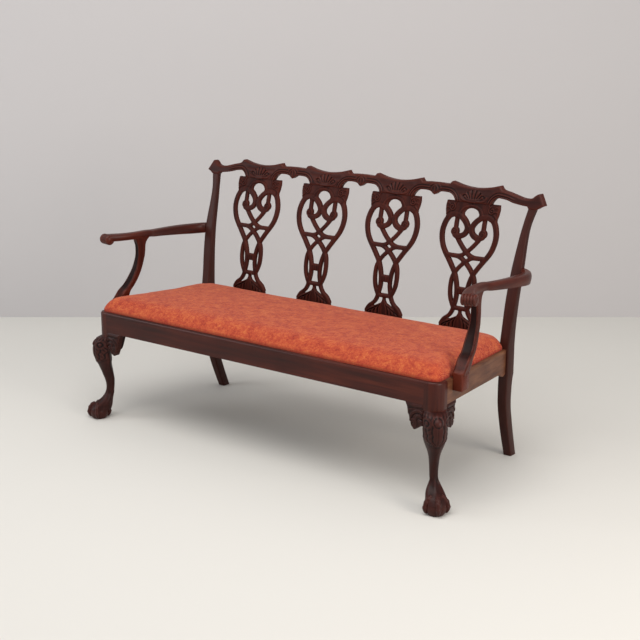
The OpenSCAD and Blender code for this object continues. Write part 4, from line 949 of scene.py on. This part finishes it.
# %% Ball and claws
GRIPPED_R = 0.9 * BALL_D / 2  # the claws stand proud of the ball
ball = []
for tilt in np.linspace(math.asin(-BALL_Z / GRIPPED_R), math.pi / 2 * 0.995, 30):
    r, z = GRIPPED_R * math.cos(tilt), BALL_Z + GRIPPED_R * math.sin(tilt)
    ball.append(diagonal(FOOT_OUT + r * np.cos(angle[::2]), r * np.sin(angle[::2]), z))
CLAW = [[66, 0.42], [56, 0.44], [47, 0.5], [38, 0.43], [29, 0.5], [20, 0.43], [10, 0.42], [2, 0.5], [-6, 0.42],
        [-14, 0.36], [-22, 0.27], [-28, 0.18], [-33, 0.07]]
claws = []
for turn in CLAW_TURNS:
    rings = []
    for tilt, thick in smooth(CLAW, 4):
        tilt, r = math.radians(tilt), thick * CLAW_T
        b = np.linspace(0, 2 * math.pi, 20, endpoint=False)
        reach = 0.95 * BALL_D / 2 + r * np.cos(b)
        u, v, z = reach * math.cos(tilt), 0.92 * r * np.sin(b), BALL_Z + reach * math.sin(tilt)
        a = math.radians(turn)
        rings.append(diagonal(FOOT_OUT + u * math.cos(a) - v * math.sin(a), u * math.sin(a) + v * math.cos(a), z))
    claws.append(loft(rings))
print("claws:", len(claws), "ball on the floor over", SOLE_D, "mm")

# %% Square post over the knee, with the seat's rounded corner
def corner_arc(inset, n=16):
    cx, cy = side_x(CORNER_R, CORNER_R), CORNER_R
    a = -math.pi / 2 + (math.pi / 2 + SIDE) * np.linspace(0, 1, n)
    return np.stack([cx + (CORNER_R - inset) * np.cos(a), cy + (CORNER_R - inset) * np.sin(a)], 1)


LEG_X = SEAT_W / 2 - LEG_POST
RIM = [(10, 0), (7.5, 0.3), (5, 1.2), (3, 2.6), (1.4, 4.6), (0.4, 7), (0, 10)]


def post_ring(inset, z, low=False):
    """One level of the post. Only the rim stands above the seat's ledge; the inner corner stays on it."""
    outer = np.vstack([[[LEG_X, inset]], corner_arc(inset), [[side_x(LEG_POST, inset), LEG_POST]]])
    inner = [[side_x(LEG_POST, RIM_W), LEG_POST], [LEG_X, LEG_POST], [LEG_X, RIM_W]]
    plan = np.vstack([outer, inner])
    if low:
        return level_ring(plan, z)
    drop = np.repeat([z, REBATE_H], [len(outer), len(inner)])
    return np.column_stack([plan, rim_z(plan[:, 1]) - drop])


rings = [post_ring(2.0, POST_LOW, True), post_ring(0.6, POST_LOW + 1, True), post_ring(0, POST_LOW + 3, True)]
rings += [post_ring(inset, drop) for drop, inset in RIM]
rings += [post_ring(RIM_W, 0), post_ring(RIM_W, REBATE_H)]
leg_post = loft(rings)
web = np.array([[LEG_X, 1], [side_x(LEG_POST), LEG_POST], [LEG_X, LEG_POST]])
fill = loft([level_ring(web, z) for z in (SEAT_H - RAIL_H - 0.82 * BLOCK_H, POST_LOW + 1)])
leg_parts = [leg_skin, loft(ball), *claws, leg_post, fill]
leg_mesh = shape("front_leg_right_carved", *joined(leg_parts), dark_wood, sharp=42)
mark_hollows(leg_mesh, reach=5, size=0.5)
# The hollow marks paint shade into the leg's hollows and highlight onto its ridges, besides wax and wear.
shade_wax_and_highlight = leg_mesh.attributes["hollow"].data
marks = read_all(shade_wax_and_highlight, "value", 1, np.float32)[:, 0]
carved = places(leg_mesh)[:, 2] * 1000 < POST_LOW  # the plain post above takes no painted shade or highlight from its hollows and ridges
shade_wax_and_highlight.foreach_set("value", marks * carved.astype(np.float32))
leg_mesh.materials.append(mahogany[2])
for face in leg_mesh.polygons:
    face.material_index = int(face.center.z * 1000 > POST_LOW + 0.5)
dress_pair("front_leg_{}", "carved", leg_mesh)

# %% [markdown]
# The knee blocks fill the corners between leg and rails. Each is a small carved panel: a scroll at
# its lower outer corner, a curled leaf over it, and a plain edge under the rail.

# %% Knee blocks
U, V = plane(-2, BLOCK_REACH + 4, -BLOCK_H - 4, 2, cell=1.1)
edge = smooth(BLOCK_SHARES, 5) * [BLOCK_REACH, BLOCK_H]
field = outline_field(U, V, np.vstack([[[0, 0]], edge]))
relief = eased_edge(field, -2.2, 3.6, 2.4)
relief += ridge(U, V, spiral(36, -68, 15, math.pi * 0.15, 1.7), 6.0, 4.2)
carve(relief, U, V, [([[0, -30], [14, -24], [32, -28], [46, -42], [50, -58]], 9, 3.4, 0.3),
                     ([[2, -46], [14, -40], [24, -44], [27, -54]], 8, 2.8, 0.4),
                     ([[2, -60], [10, -56], [17, -62]], 7, 2.4, 0.4),
                     ([[42, -18], [54, -26], [58, -38]], 7, 2.6, 0.5)], lambda points: smooth(points, 6))
carve(relief, U, V, [([[0, -7], [30, -7], [62, -7]], 6, 1.8, 0),
                     ([[0, -15], [30, -16], [58, -18]], 3.2, -2.4, 0),
                     ([[2, -36], [16, -31], [32, -36], [42, -50]], 3.2, -2.4, 0),
                     ([[2, -53], [13, -48], [22, -53]], 3.2, -2.4, 0)], lambda points: smooth(points, 4))
front = np.clip(blur(relief, 1), -5, 0.0)


def put_front_block(u, v, h):
    return np.stack([LEG_X - u, -BLOCK_PROUD - h, SEAT_H - RAIL_H + v], 1)


def put_side_block(u, v, h):
    y = LEG_POST + u * math.cos(SIDE)
    return np.stack([side_x(y, -BLOCK_PROUD - h), y, rim_z(y) - RAIL_H + v], 1)


for place, put in (("front", put_front_block), ("side", put_side_block)):
    panel = carved_panel(U, V, field, front, -BLOCK_T, put)
    mesh = shape(f"knee_block_{place}_right_carved", *panel, dark_wood, sharp=50)
    dress_pair(f"knee_block_{place}_" + "{}", "carved", mark_hollows(mesh, reach=4, size=0.7))

# %% [markdown]
# The arms are long shallow curves: narrow over the support, bowed out and deeper behind it, and wider
# in front, where they turn over a reeded roll. The section is a flat oval, fuller above than below. The roll is
# made by a Geometry Nodes tree, because it is one ring repeated: the number of reeds, their spacing
# and the radii are its inputs, and each reed is a ring on its own point of a line.

# %% Arms
ARM_H, ARM_FALL, ARM_W, ARM_T, ARM_OUT = 716, 18, 33, 27, 70
ARM_Y = [0.185, 0.258, 0.344, 0.465, 0.53, 0.62, 0.723, 0.826, 0.912, 0.981, 1.015, 1.03]
ARM_BOW = [0.696, 0.38, 0.216, 0.255, 0.4, 0.584, 0.75, 0.86, 0.89, 0.77, 0.56, 0.34]
ARM_DROP = [0, 0, 0, 0, 0.24, 0.45, 0.68, 0.9, 1.1, 1.15, 1.1, 1.05]
ARM_WIDE = [1.55, 1.25, 1.05, 1, 1, 1, 1.06, 1.12, 1.15, 1.1, 1, 0.92]
ARM_DEEP = [1, 1, 1, 1, 1.04, 1.14, 1.28, 1.4, 1.48, 1.5, 1.5, 1.5]
HALF_SECTION = [[0, 1], [0.22, 0.99], [0.4, 0.9], [0.48, 0.72], [0.5, 0.5], [0.47, 0.25], [0.41, 0.08], [0.35, 0]]
section = np.array(HALF_SECTION + [[-a, b] for a, b in HALF_SECTION[:0:-1]])
section = smooth(section, 3, closed=True)
line = smooth([[side_x(y * SEAT_D) + bow * ARM_OUT, y * SEAT_D, ARM_H - drop * ARM_FALL - (0.55 + 0.45 * deep) * ARM_T,
                wide * ARM_W, deep * ARM_T]
               for y, bow, drop, wide, deep in zip(ARM_Y, ARM_BOW, ARM_DROP, ARM_WIDE, ARM_DEEP)], 9)
END_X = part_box("arm_right")[0].x * 1000
rings = []
for i, p in enumerate(line):
    d = line[min(i + 1, len(line) - 1)] - line[max(i - 1, 0)]
    t = d[:2] / np.hypot(*d[:2])
    ring = np.stack([p[0] + section[:, 0] * p[3] * t[1], p[1] - section[:, 0] * p[3] * t[0],
                     p[2] + section[:, 1] * p[4]], 1)
    ring[:, 0] = np.maximum(ring[:, 0], END_X)
    rings.append(ring)
arm_body = loft(rings)
print("arm reaches from x", round(float(END_X)), "and has", len(rings), "rings")

# %% Reeded roll under the arm's front end
roll_tree, given = tree_of("reeded_roll", Reeds="int", Spacing="float", Radius="float", Reed_Radius="float")
middle = maths(roll_tree, "SUBTRACT", given["Radius"], given["Reed Radius"])
circle, profile = (add_node(roll_tree, "GeometryNodeCurvePrimitiveCircle", Radius=radius, Resolution=sides).outputs[0]
                   for radius, sides in ((middle, 48), (given["Reed Radius"], 16)))
reed = add_node(roll_tree, "GeometryNodeCurveToMesh", Curve=circle, Profile_Curve=profile).outputs[0]
reeds = row_of(roll_tree, given["Reeds"], "Z", given["Spacing"], reed)
both = add_node(roll_tree, "GeometryNodeJoinGeometry")
for geometry in (reeds, given[0]):
    roll_tree.links.new(geometry, both.inputs[0])
end_tree(roll_tree, given, both.outputs[0])

REEDS, ROLL_L, ROLL_D, ROLL_TURN = 5, 50, 40, math.radians(13)
spacing = ROLL_L / REEDS
turned = np.linspace(0, 2 * math.pi, 48, endpoint=False)
neck = [(-7.6, 2.0), (-7.4, 6.5), (-6.2, 9.2), (-5.2, 9.8), (-5.0, 13), (-4.6, 14.4)]
core = [np.stack([r * np.cos(turned), r * np.sin(turned), z + 0 * turned], 1)
        for z, r in neck + [(ROLL_L - spacing - z, r) for z, r in neck[::-1]]]
points, faces = loft(core)
core_mesh = bpy.data.meshes.new("roll_core")
core_mesh.from_pydata([tuple(p * 0.001) for p in points], [], faces)
roll_mesh = run_tree("reeded_roll", roll_tree, core_mesh, Reeds=REEDS, Spacing=spacing / 1000,
                     Radius=ROLL_D / 2000, Reed_Radius=0.575 * spacing / 1000, Material=mahogany[1])
p = places(roll_mesh) * 1000
p[:, 2] -= (ROLL_L - spacing) / 2
c, s = math.cos(ROLL_TURN), math.sin(ROLL_TURN)
p = np.stack([p[:, 2] * c - p[:, 1] * s, p[:, 2] * s + p[:, 1] * c, p[:, 0]], 1)
p += [line[0][0], line[0][1], ARM_H - ROLL_D / 2]
roll = (p, [list(f.vertices) for f in roll_mesh.polygons])
arm_mesh = shape("arm_right_shaped", *joined([arm_body, roll]), mahogany[1], sharp=55)
mark_hollows(arm_mesh, reach=4, size=0.8)
dress_pair("arm_{}", "shaped", arm_mesh)

# %% [markdown]
# Each arm support grows out of a block on the side rail, leans back in a C and flares under the arm.
# Its front is hollowed between two raised beads, which catch the light as two bright lines; the wood
# is also painted paler on the beads, as painted highlight, and darker in the hollow, as painted shade.
# The ring of each level is a rounded rectangle whose front side is pushed in between the beads.

# %% Arm supports
SUP_Y, SUP_W, SUP_T, SUP_D, SUP_PROUD, SUP_LEAN = 97, 56, 44, 28, 34, 109
SUPPORT = [[0.02, 0, 0.5, 0.94, 1.9], [0.055, 0, 0.5, 0.94, 1.89],
           [0.115, 0.11, 0.51, 0.98, 1.64], [0.206, 0.25, 0.52, 1.02, 1.27],
           [0.277, 0.44, 0.54, 0.95, 1.12], [0.352, 0.58, 0.506, 0.93, 1.02], [0.431, 0.7, 0.48, 0.87, 1.03],
           [0.506, 0.8, 0.465, 0.78, 1.03], [0.581, 0.88, 0.47, 0.72, 1.03], [0.656, 0.936, 0.45, 0.65, 1.08],
           [0.731, 0.98, 0.424, 0.6, 1.15], [0.81, 0.995, 0.4, 0.57, 1.24], [0.886, 1, 0.403, 0.56, 1.36],
           [0.933, 1.005, 0.403, 0.55, 1.66], [0.972, 1.025, 0.403, 0.55, 2.05], [1.01, 1.064, 0.403, 0.55, 2.6]]
RISE = ARM_H - ARM_T - SEAT_H
around = np.linspace(0, 2 * math.pi, 56, endpoint=False)
rings = []
for h, lean, out, thick, deep in smooth(SUPPORT, 7):
    y, w, d = SUP_Y + SUP_W / 2 + lean * SUP_LEAN, thick * SUP_T / 2, deep * SUP_D / 2
    p0 = np.sign(np.cos(around)) * np.abs(np.cos(around)) ** 0.28 * w
    p1 = np.sign(np.sin(around)) * np.abs(np.sin(around)) ** 0.28 * d
    hollow = 1.8 * step(0.12, 0.22, h) * step(1.0, 0.9, h)
    face = p1 < -0.75 * d
    p1 = np.where(face, p1 + hollow * bulge(p0, 0, 0.72 * w), p1)
    rings.append(np.stack([side_x(y) + (out * SUP_PROUD + p0) * math.cos(SIDE) - p1 * math.sin(SIDE),
                           y + (out * SUP_PROUD + p0) * math.sin(SIDE) + p1 * math.cos(SIDE),
                           SEAT_H + h * RISE + 0 * p0], 1))
upright = loft(rings)


def bevelled_block(corners, y0, y1, r=1.8):
    """A block with an outline in inset and height, run along the side rail, with its ends eased."""
    rings = []
    c = np.array(corners, float)
    middle = c.mean(0)
    for y, ease in ((y0, r), (y0 + r * 0.3, r * 0.3), (y0 + r, 0), (y1 - r, 0), (y1 - r * 0.3, r * 0.3), (y1, r)):
        eased = c - np.sign(c - middle) * ease
        rings.append([[side_x(y, inset), y, z] for inset, z in eased])
    return loft(rings)


block_low = rim_z(SUP_Y) - 42
OUTER_BLOCK = [[-34, block_low], [-34, 448], [-32.5, 449.6], [-0.2, 449.6], [-0.2, block_low]]
CAP = [[-20, 437], [-20, 449.4], [5.5, 449.4], [7, 448], [7, 436.2]]
block = [bevelled_block(corners, SUP_Y + ease, SUP_Y + SUP_W - ease)
         for corners, ease in ((OUTER_BLOCK, 0), (CAP, 0.4))]
support_mesh = shape("arm_support_right_shaped", *joined([upright, *block]), polished_wood, sharp=50)
# A small size makes strong marks: painted shade in the hollow front and painted highlight on the beads.
mark_hollows(support_mesh, reach=3, size=0.35)
dress_pair("arm_support_{}", "shaped", support_mesh)

# %% [markdown]
# The rails, shoes, blocks and the loose seat's frame are plain joinery, so their solids stay as they
# are and only take a finish. The grain runs along each board. Show wood is polished mahogany, and the
# side rails take a paler, browner copy of it as painted light, since they face the light from the right.
# What the seat hides is a plain paler wood.

# %% Finishes of the solids that stay
for name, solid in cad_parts.items():
    if name.startswith(("front_rail", "shoe")):
        finish = mahogany[0]
    # the side rails take the paler wood that is painted light
    elif name.startswith("side_rail"):
        finish = lit_side_wood
    elif "screws" in name:
        finish = steel
    else:
        finish = plain
    solid.data.materials.clear()
    solid.data.materials.append(finish)
print("finished", len(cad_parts), "solids")

# %% [markdown]
# The loose seat is a stuffed pad on a webbed frame, under a cover that is pulled over the edges and
# tacked below. It is crowned: high and full in the middle, rounded down to the rim all round. Its
# shell is a little smaller than the finished seat, and a cloth simulation with pressure inside fills
# it out, which gives the soft, not quite even surface of real stuffing. Movement is capped, so the
# seat keeps clear of the rail and the arm supports.

# %% Shell of the loose seat
FALL = math.atan(SEAT_FALL / POST_Y)
POST_IN = SEAT_POST_X - SEAT_POST_W / 2


def pocket(inset, n=9):
    arc = corner_arc(RIM_W + inset, n)
    y = POST_Y - inset
    side = np.vstack([arc, [[side_x(y, RIM_W + inset), y], [POST_IN - inset, y], [POST_IN - inset, SHOE_Y - inset]]])
    return np.vstack([side, side[::-1] * [-1, 1]])


def spread(outline, gap):
    """The outline with points no further apart than the gap."""
    made = []
    for a, b in zip(outline, np.roll(outline, -1, 0)):
        n = max(1, int(np.hypot(*(b - a)) / gap))
        made += [a + (b - a) * k / n for k in range(n)]
    return np.array(made)


def tilt(points):
    """From the level drawing of the loose seat to its place on the sloping rebate."""
    p = np.asarray(points, float)
    c, s = math.cos(FALL), math.sin(FALL)
    return np.stack([p[:, 0], p[:, 1] * c + p[:, 2] * s, SEAT_H - REBATE_H - p[:, 1] * s + p[:, 2] * c], 1)


CUSHION = [[0, 0.04], [0, 0.2], [0, 0.36], [0.003, 0.46], [0.012, 0.57], [0.028, 0.68], [0.05, 0.77], [0.085, 0.84],
           [0.15, 0.895], [0.25, 0.935], [0.42, 0.97], [0.66, 0.99], [0.88, 1]]
CUSHION_H, MID_Y = 72, (RIM_W + SHOE_Y) / 2
SPINE = SEAT_W / 2 - MID_Y
TIGHT = 2.2
outline = spread(pocket(1.1), 9)
rings = []
x = np.clip(outline[:, 0], -SPINE, SPINE)
for inward, up in smooth(CUSHION, 2):
    ring = np.stack([x + (outline[:, 0] - x) * (1 - inward), MID_Y + (outline[:, 1] - MID_Y) * (1 - inward)], 1)
    rings.append(level_ring(ring, 1.5 + up * (CUSHION_H - 2.5 - TIGHT)))
shell = tilt(np.vstack(rings))
seat_mesh = shape("seat_shell", shell, ring_faces(len(rings), len(outline)), chenille, sharp=180)
seat = stand("loose_seat_cover", seat_mesh)
print("seat shell:", len(rings), "rings of", len(outline))

# %% Fill the shell
def apply_modifiers(piece):
    mesh = bpy.data.meshes.new_from_object(piece.evaluated_get(bpy.context.evaluated_depsgraph_get()))
    piece.modifiers.clear()
    piece.data = mesh
    return mesh


def over_rim(p):
    """How many millimetres places in metres are above the rim of the rails."""
    return p[:, 2] * 1000 - rim_z(p[:, 1] * 1000 - SHIFT)


VOXEL, MOST_MOVE = 0.009, 0.0075  # metres
FRAMES, LUMPS = 16, 26
EDGE_LOW, EDGE_TOP, EDGE_REACH = -11, 17, 9  # the cover's sides: heights over the rim, distance from the outline
remesh = seat.modifiers.new("even", "REMESH")
remesh.mode, remesh.voxel_size, remesh.use_smooth_shade = "VOXEL", VOXEL, True
apply_modifiers(seat)
before = places(seat.data)
cloth = seat.modifiers.new("fill", "CLOTH")
settings = cloth.settings
settings.quality, settings.use_pressure, settings.uniform_pressure_force = 5, True, 4.0
settings.effector_weights.gravity = 0.0
settings.tension_stiffness = settings.compression_stiffness = 18
settings.bending_stiffness = 0.6
cloth.collision_settings.use_collision = False
for number in range(1, FRAMES + 1):
    bpy.context.scene.frame_set(number)
apply_modifiers(seat)
bpy.context.scene.frame_set(1)
move = places(seat.data) - before
length = np.linalg.norm(move, axis=1, keepdims=True)
move *= np.minimum(1, MOST_MOVE / np.maximum(length, 1e-9))
height = over_rim(before)
held = step(-2, 16, height)[:, None]  # below the rim nothing moves
move[:, :2] *= step(8, 34, height)[:, None]
placed = before + move * held
rng = np.random.default_rng(7)
lumps = rng.uniform(-1, 1, (LUMPS, 2)) * [0.72, 0.24] + [0, float((MID_Y + SHIFT) / 1000)]
sizes, highs = rng.uniform(0.05, 0.12, LUMPS), rng.uniform(-1.4, 1.4, LUMPS) / 1000
for (lx, ly), size, high in zip(lumps, sizes, highs):
    placed[:, 2] += high * np.exp(-((placed[:, 0] - lx) ** 2 + (placed[:, 1] - ly) ** 2) / size ** 2) * held[:, 0]
seat.data.vertices.foreach_set("co", placed.ravel())
seat.data.update()
smoother = seat.modifiers.new("ease", "SMOOTH")
smoother.factor, smoother.iterations = 0.5, 4
finer = seat.modifiers.new("finer", "SUBSURF")
finer.levels = finer.render_levels = 1
apply_modifiers(seat)
p = places(seat.data)
level = over_rim(p)
low = np.flatnonzero((level > EDGE_LOW) & (level < EDGE_TOP))
at = p[low, :2] * 1000 - [0, SHIFT]
near, best = at.copy(), np.full(len(low), 1e9)
for start, stop in zip(outline, np.roll(outline, -1, 0)):  # the cover's sides are drawn tight over the frame
    way = stop - start
    t = np.clip(((at - start) @ way) / (way @ way), 0, 1)[:, None]
    on = start + t * way
    distance = np.hypot(*(at - on).T)
    closer = distance < best
    near[closer], best[closer] = on[closer], distance[closer]
pull = (step(EDGE_TOP, 8, level[low]) * (best < EDGE_REACH))[:, None]
p[low, :2] += (near - at) * pull / 1000
seat.data.vertices.foreach_set("co", p.ravel())
finish_piece(seat.data, chenille, sharp=180)
p = places(seat.data)
level = over_rim(p)
# The cover's sides below the crown are marked for painted shade, darker and redder.
turned_edge = seat.data.attributes.new("turned_edge", "FLOAT", "POINT")
turned_edge.data.foreach_set("value", step(EDGE_TOP, -1, level).astype(np.float32))
print("seat filled by up to", round(float(length.max() * 1000), 1), "mm")
print("crown", round(float(level.max())), "mm over the rim")
dress(seat, "slip_seat", "seat_cover")

# %% Wadding, lining and webbing under the cover
def slab(name, ends, middle, z0, z1, ease, material):
    """A layer between two heights, drawn at its faces and at an ease inside them."""
    rings = [level_ring(plan, z) for plan, z in ((ends, z0), (middle, z0 + ease), (middle, z1 - ease), (ends, z1))]
    return stand(name, shape(name, tilt(np.vstack(rings)), ring_faces(len(rings), len(ends)), material, 60))


FRAME_LOW, FRAME_H = 0.8, 20
pad_low = FRAME_LOW + FRAME_H + 4
wadded = slab("seat_wadding", pocket(20), pocket(16), pad_low + 0.2, pad_low + 15.6, 4, wadding)
dress(wadded, "slip_seat", "seat_pad")
tight = pocket(3.0)
under = slab("seat_lining", tight, tight, 0.32, 0.74, 0.05, lining)
size = tight.max(0) - tight.min(0)
tuple(float(v) / 1000 for v in size)
dress(under, "slip_seat", "dust_cloth")

# %% [markdown]
# The webbing is nine short straps across and three long ones, woven over and under. One tree lays a
# row of straps: a narrow grid is repeated on the points of a line, and then every point is lifted by
# the product of two cosines, one along the row and one along the strap. It runs once for the short
# straps and once for the long ones, and where one row rises at a crossing the other one dips.

# %% Webbing straps
web_tree, given = tree_of("webbing_row", Straps="int", Spacing="float", Length="float", Width="float",
                          Row_Wave="float", Strap_Wave="float", Lift="float")
strap = add_node(web_tree, "GeometryNodeMeshGrid", Size_X=given["Width"], Size_Y=given["Length"],
                 Vertices_X=4, Vertices_Y=65).outputs[0]
laid = row_of(web_tree, given["Straps"], "X", given["Spacing"], strap)
flat = add_node(web_tree, "GeometryNodeRealizeInstances", Geometry=laid).outputs[0]
position = add_node(web_tree, "GeometryNodeInputPosition").outputs[0]
where = add_node(web_tree, "ShaderNodeSeparateXYZ", Vector=position).outputs
rise = given["Lift"]
for axis, wave in (("X", "Row Wave"), ("Y", "Strap Wave")):
    turn = maths(web_tree, "MULTIPLY", where[axis], given[wave])
    rise = maths(web_tree, "MULTIPLY", rise, maths(web_tree, "COSINE", turn))
lift = add_node(web_tree, "ShaderNodeCombineXYZ", Z=rise).outputs[0]
end_tree(web_tree, given, add_node(web_tree, "GeometryNodeSetPosition", Geometry=flat, Offset=lift).outputs[0])

INWARD = RIM_W + 2.5 + 56  # to the inner edge of the seat's frame
ACROSS, LENGTHWAYS = 9, 3
frame_y0, frame_y1 = INWARD, SHOE_Y - 2.5 - 56
reach = side_x(frame_y1, INWARD) - 5
step_x, step_y = 2 * reach / (ACROSS - 1), (frame_y1 - frame_y0) / (LENGTHWAYS + 1)
parts = []
for straps, spacing, wave, long in ((ACROSS, step_x, step_y, frame_y1 - frame_y0 + 40),
                                    (LENGTHWAYS, step_y, step_x, 2 * reach + 60)):
    mesh = run_tree("webbing_row", web_tree, bpy.data.meshes.new("nothing"), Straps=straps, Spacing=spacing / 1000,
                    Length=long / 1000, Width=0.05, Row_Wave=math.pi * 1000 / spacing,
                    Strap_Wave=math.pi * 1000 / wave, Lift=0.0009, Material=jute)
    p = places(mesh) * 1000
    p[:, 0] -= spacing * (straps - 1) / 2
    if straps == LENGTHWAYS:
        p = p[:, [1, 0, 2]]
    p += [0, (frame_y0 + frame_y1) / 2, FRAME_LOW + FRAME_H + 2]
    parts.append((tilt(p), [list(f.vertices) for f in mesh.polygons]))
web = stand("seat_webbing", shape("seat_webbing", *joined(parts), jute, sharp=180))
thick = web.modifiers.new("thick", "SOLIDIFY")
thick.thickness, thick.offset = 0.0012, 0
apply_modifiers(web)
finish_piece(web.data, jute, sharp=40)
dress(web, "slip_seat", "webbing")

# %% [markdown]
# The settee stands on a plain pale floor before a plain wall. Neither is part of it. There are three
# soft lights: a broad one from above and in front, a second from the right and a weaker one from the
# left, in an even pale world. The floor and wall show their own colour to the camera and in
# reflections, so the light on the wood need not be raised to make the background pale.

# %% Floor, wall and light
def backdrop(name, seen, lit):
    """Pale and matt. It shows its own colour to the camera and in reflections, and nothing from behind."""
    material, tree, _ = new_material(name)
    clouds = add_node(tree, "ShaderNodeTexNoise", Scale=1.6, Detail=6.0).outputs["Fac"]
    colour = ramp(tree, clouds, [(0.3, shade(seen, 0.96)), (0.7, seen)])
    ray = add_node(tree, "ShaderNodeLightPath").outputs
    seen_by = maths(tree, "MAXIMUM", ray["Is Camera Ray"],
                    maths(tree, "MAXIMUM", ray["Is Glossy Ray"], ray["Is Transmission Ray"]))
    behind = add_node(tree, "ShaderNodeNewGeometry").outputs["Backfacing"]
    finish_shader(tree, Base_Color=mixed(tree, seen_by, lit, colour), Roughness=0.85, Specular_IOR_Level=0.2,
                  Alpha=maths(tree, "SUBTRACT", 1.0, behind))
    return material


FLOOR_HALF, WALL_AWAY, WALL_HIGH = 9, 1.85, 6  # metres
floor_mesh = bpy.data.meshes.new("floor")
floor_mesh.from_pydata([(x * FLOOR_HALF, y * FLOOR_HALF, 0) for x, y in ((-1, -1), (1, -1), (1, 1), (-1, 1))], [],
                       [(0, 1, 2, 3)])
floor_mesh.materials.append(backdrop("pale_floor", srgb(220, 217, 211), srgb(196, 190, 182)))
floor = stand("floor", floor_mesh)
across = np.array([math.cos(math.radians(VIEW_TURN)), math.sin(math.radians(VIEW_TURN))])
away = np.array([-across[1], across[0]])
corners = [away * WALL_AWAY - across * FLOOR_HALF, away * WALL_AWAY + across * FLOOR_HALF]
wall_mesh = bpy.data.meshes.new("wall")
wall_mesh.from_pydata([(*corners[k], z) for k, z in ((0, 0), (1, 0), (1, WALL_HIGH), (0, WALL_HIGH))], [],
                      [(0, 1, 2, 3)])
wall_mesh.materials.append(backdrop("pale_wall", srgb(200, 197, 197), srgb(196, 194, 192)))
wall = stand("wall", wall_mesh)
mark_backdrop(floor, wall)

world = bpy.data.worlds.new("world")
bpy.context.scene.world = world
world.use_nodes = True
sky = world.node_tree.nodes["Background"].inputs
sky["Color"].default_value, sky["Strength"].default_value = srgb(236, 238, 242), 0.62


def soft_light(name, place, target, size, power, colour=(1, 1, 1)):
    lamp = bpy.data.objects.new(name, bpy.data.lights.new(name, "AREA"))
    lamp.data.shape, lamp.data.size, lamp.data.size_y = "RECTANGLE", size[0], size[1]
    lamp.data.energy, lamp.data.color = power, colour
    lamp.location = place
    from_to = Vector(target) - Vector(place)
    lamp.rotation_euler = from_to.to_track_quat("-Z", "Y").to_euler()
    bpy.context.scene.collection.objects.link(lamp)


soft_light("window_above", (0.6, -1.6, 3.6), (0, 0, 0.4), (3.4, 2.2), 92, (1.0, 0.985, 0.96))
soft_light("window_right", (4.2, -0.6, 1.7), (0.4, 0, 0.4), (1.8, 1.8), 72, (1.0, 0.93, 0.85))
soft_light("window_left", (-3.2, -2.8, 1.9), (0, 0, 0.4), (1.6, 1.6), 34, (0.95, 0.975, 1.0))

# %% Measure and finish
low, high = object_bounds()
{"cad": [list(cad_low), list(cad_high)], "visual": [list(low), list(high)]}
print("solids", [round(v * 1000, 1) for v in (*cad_low, *cad_high)])
print("dressed", [round(v * 1000, 1) for v in (*low, *high)])
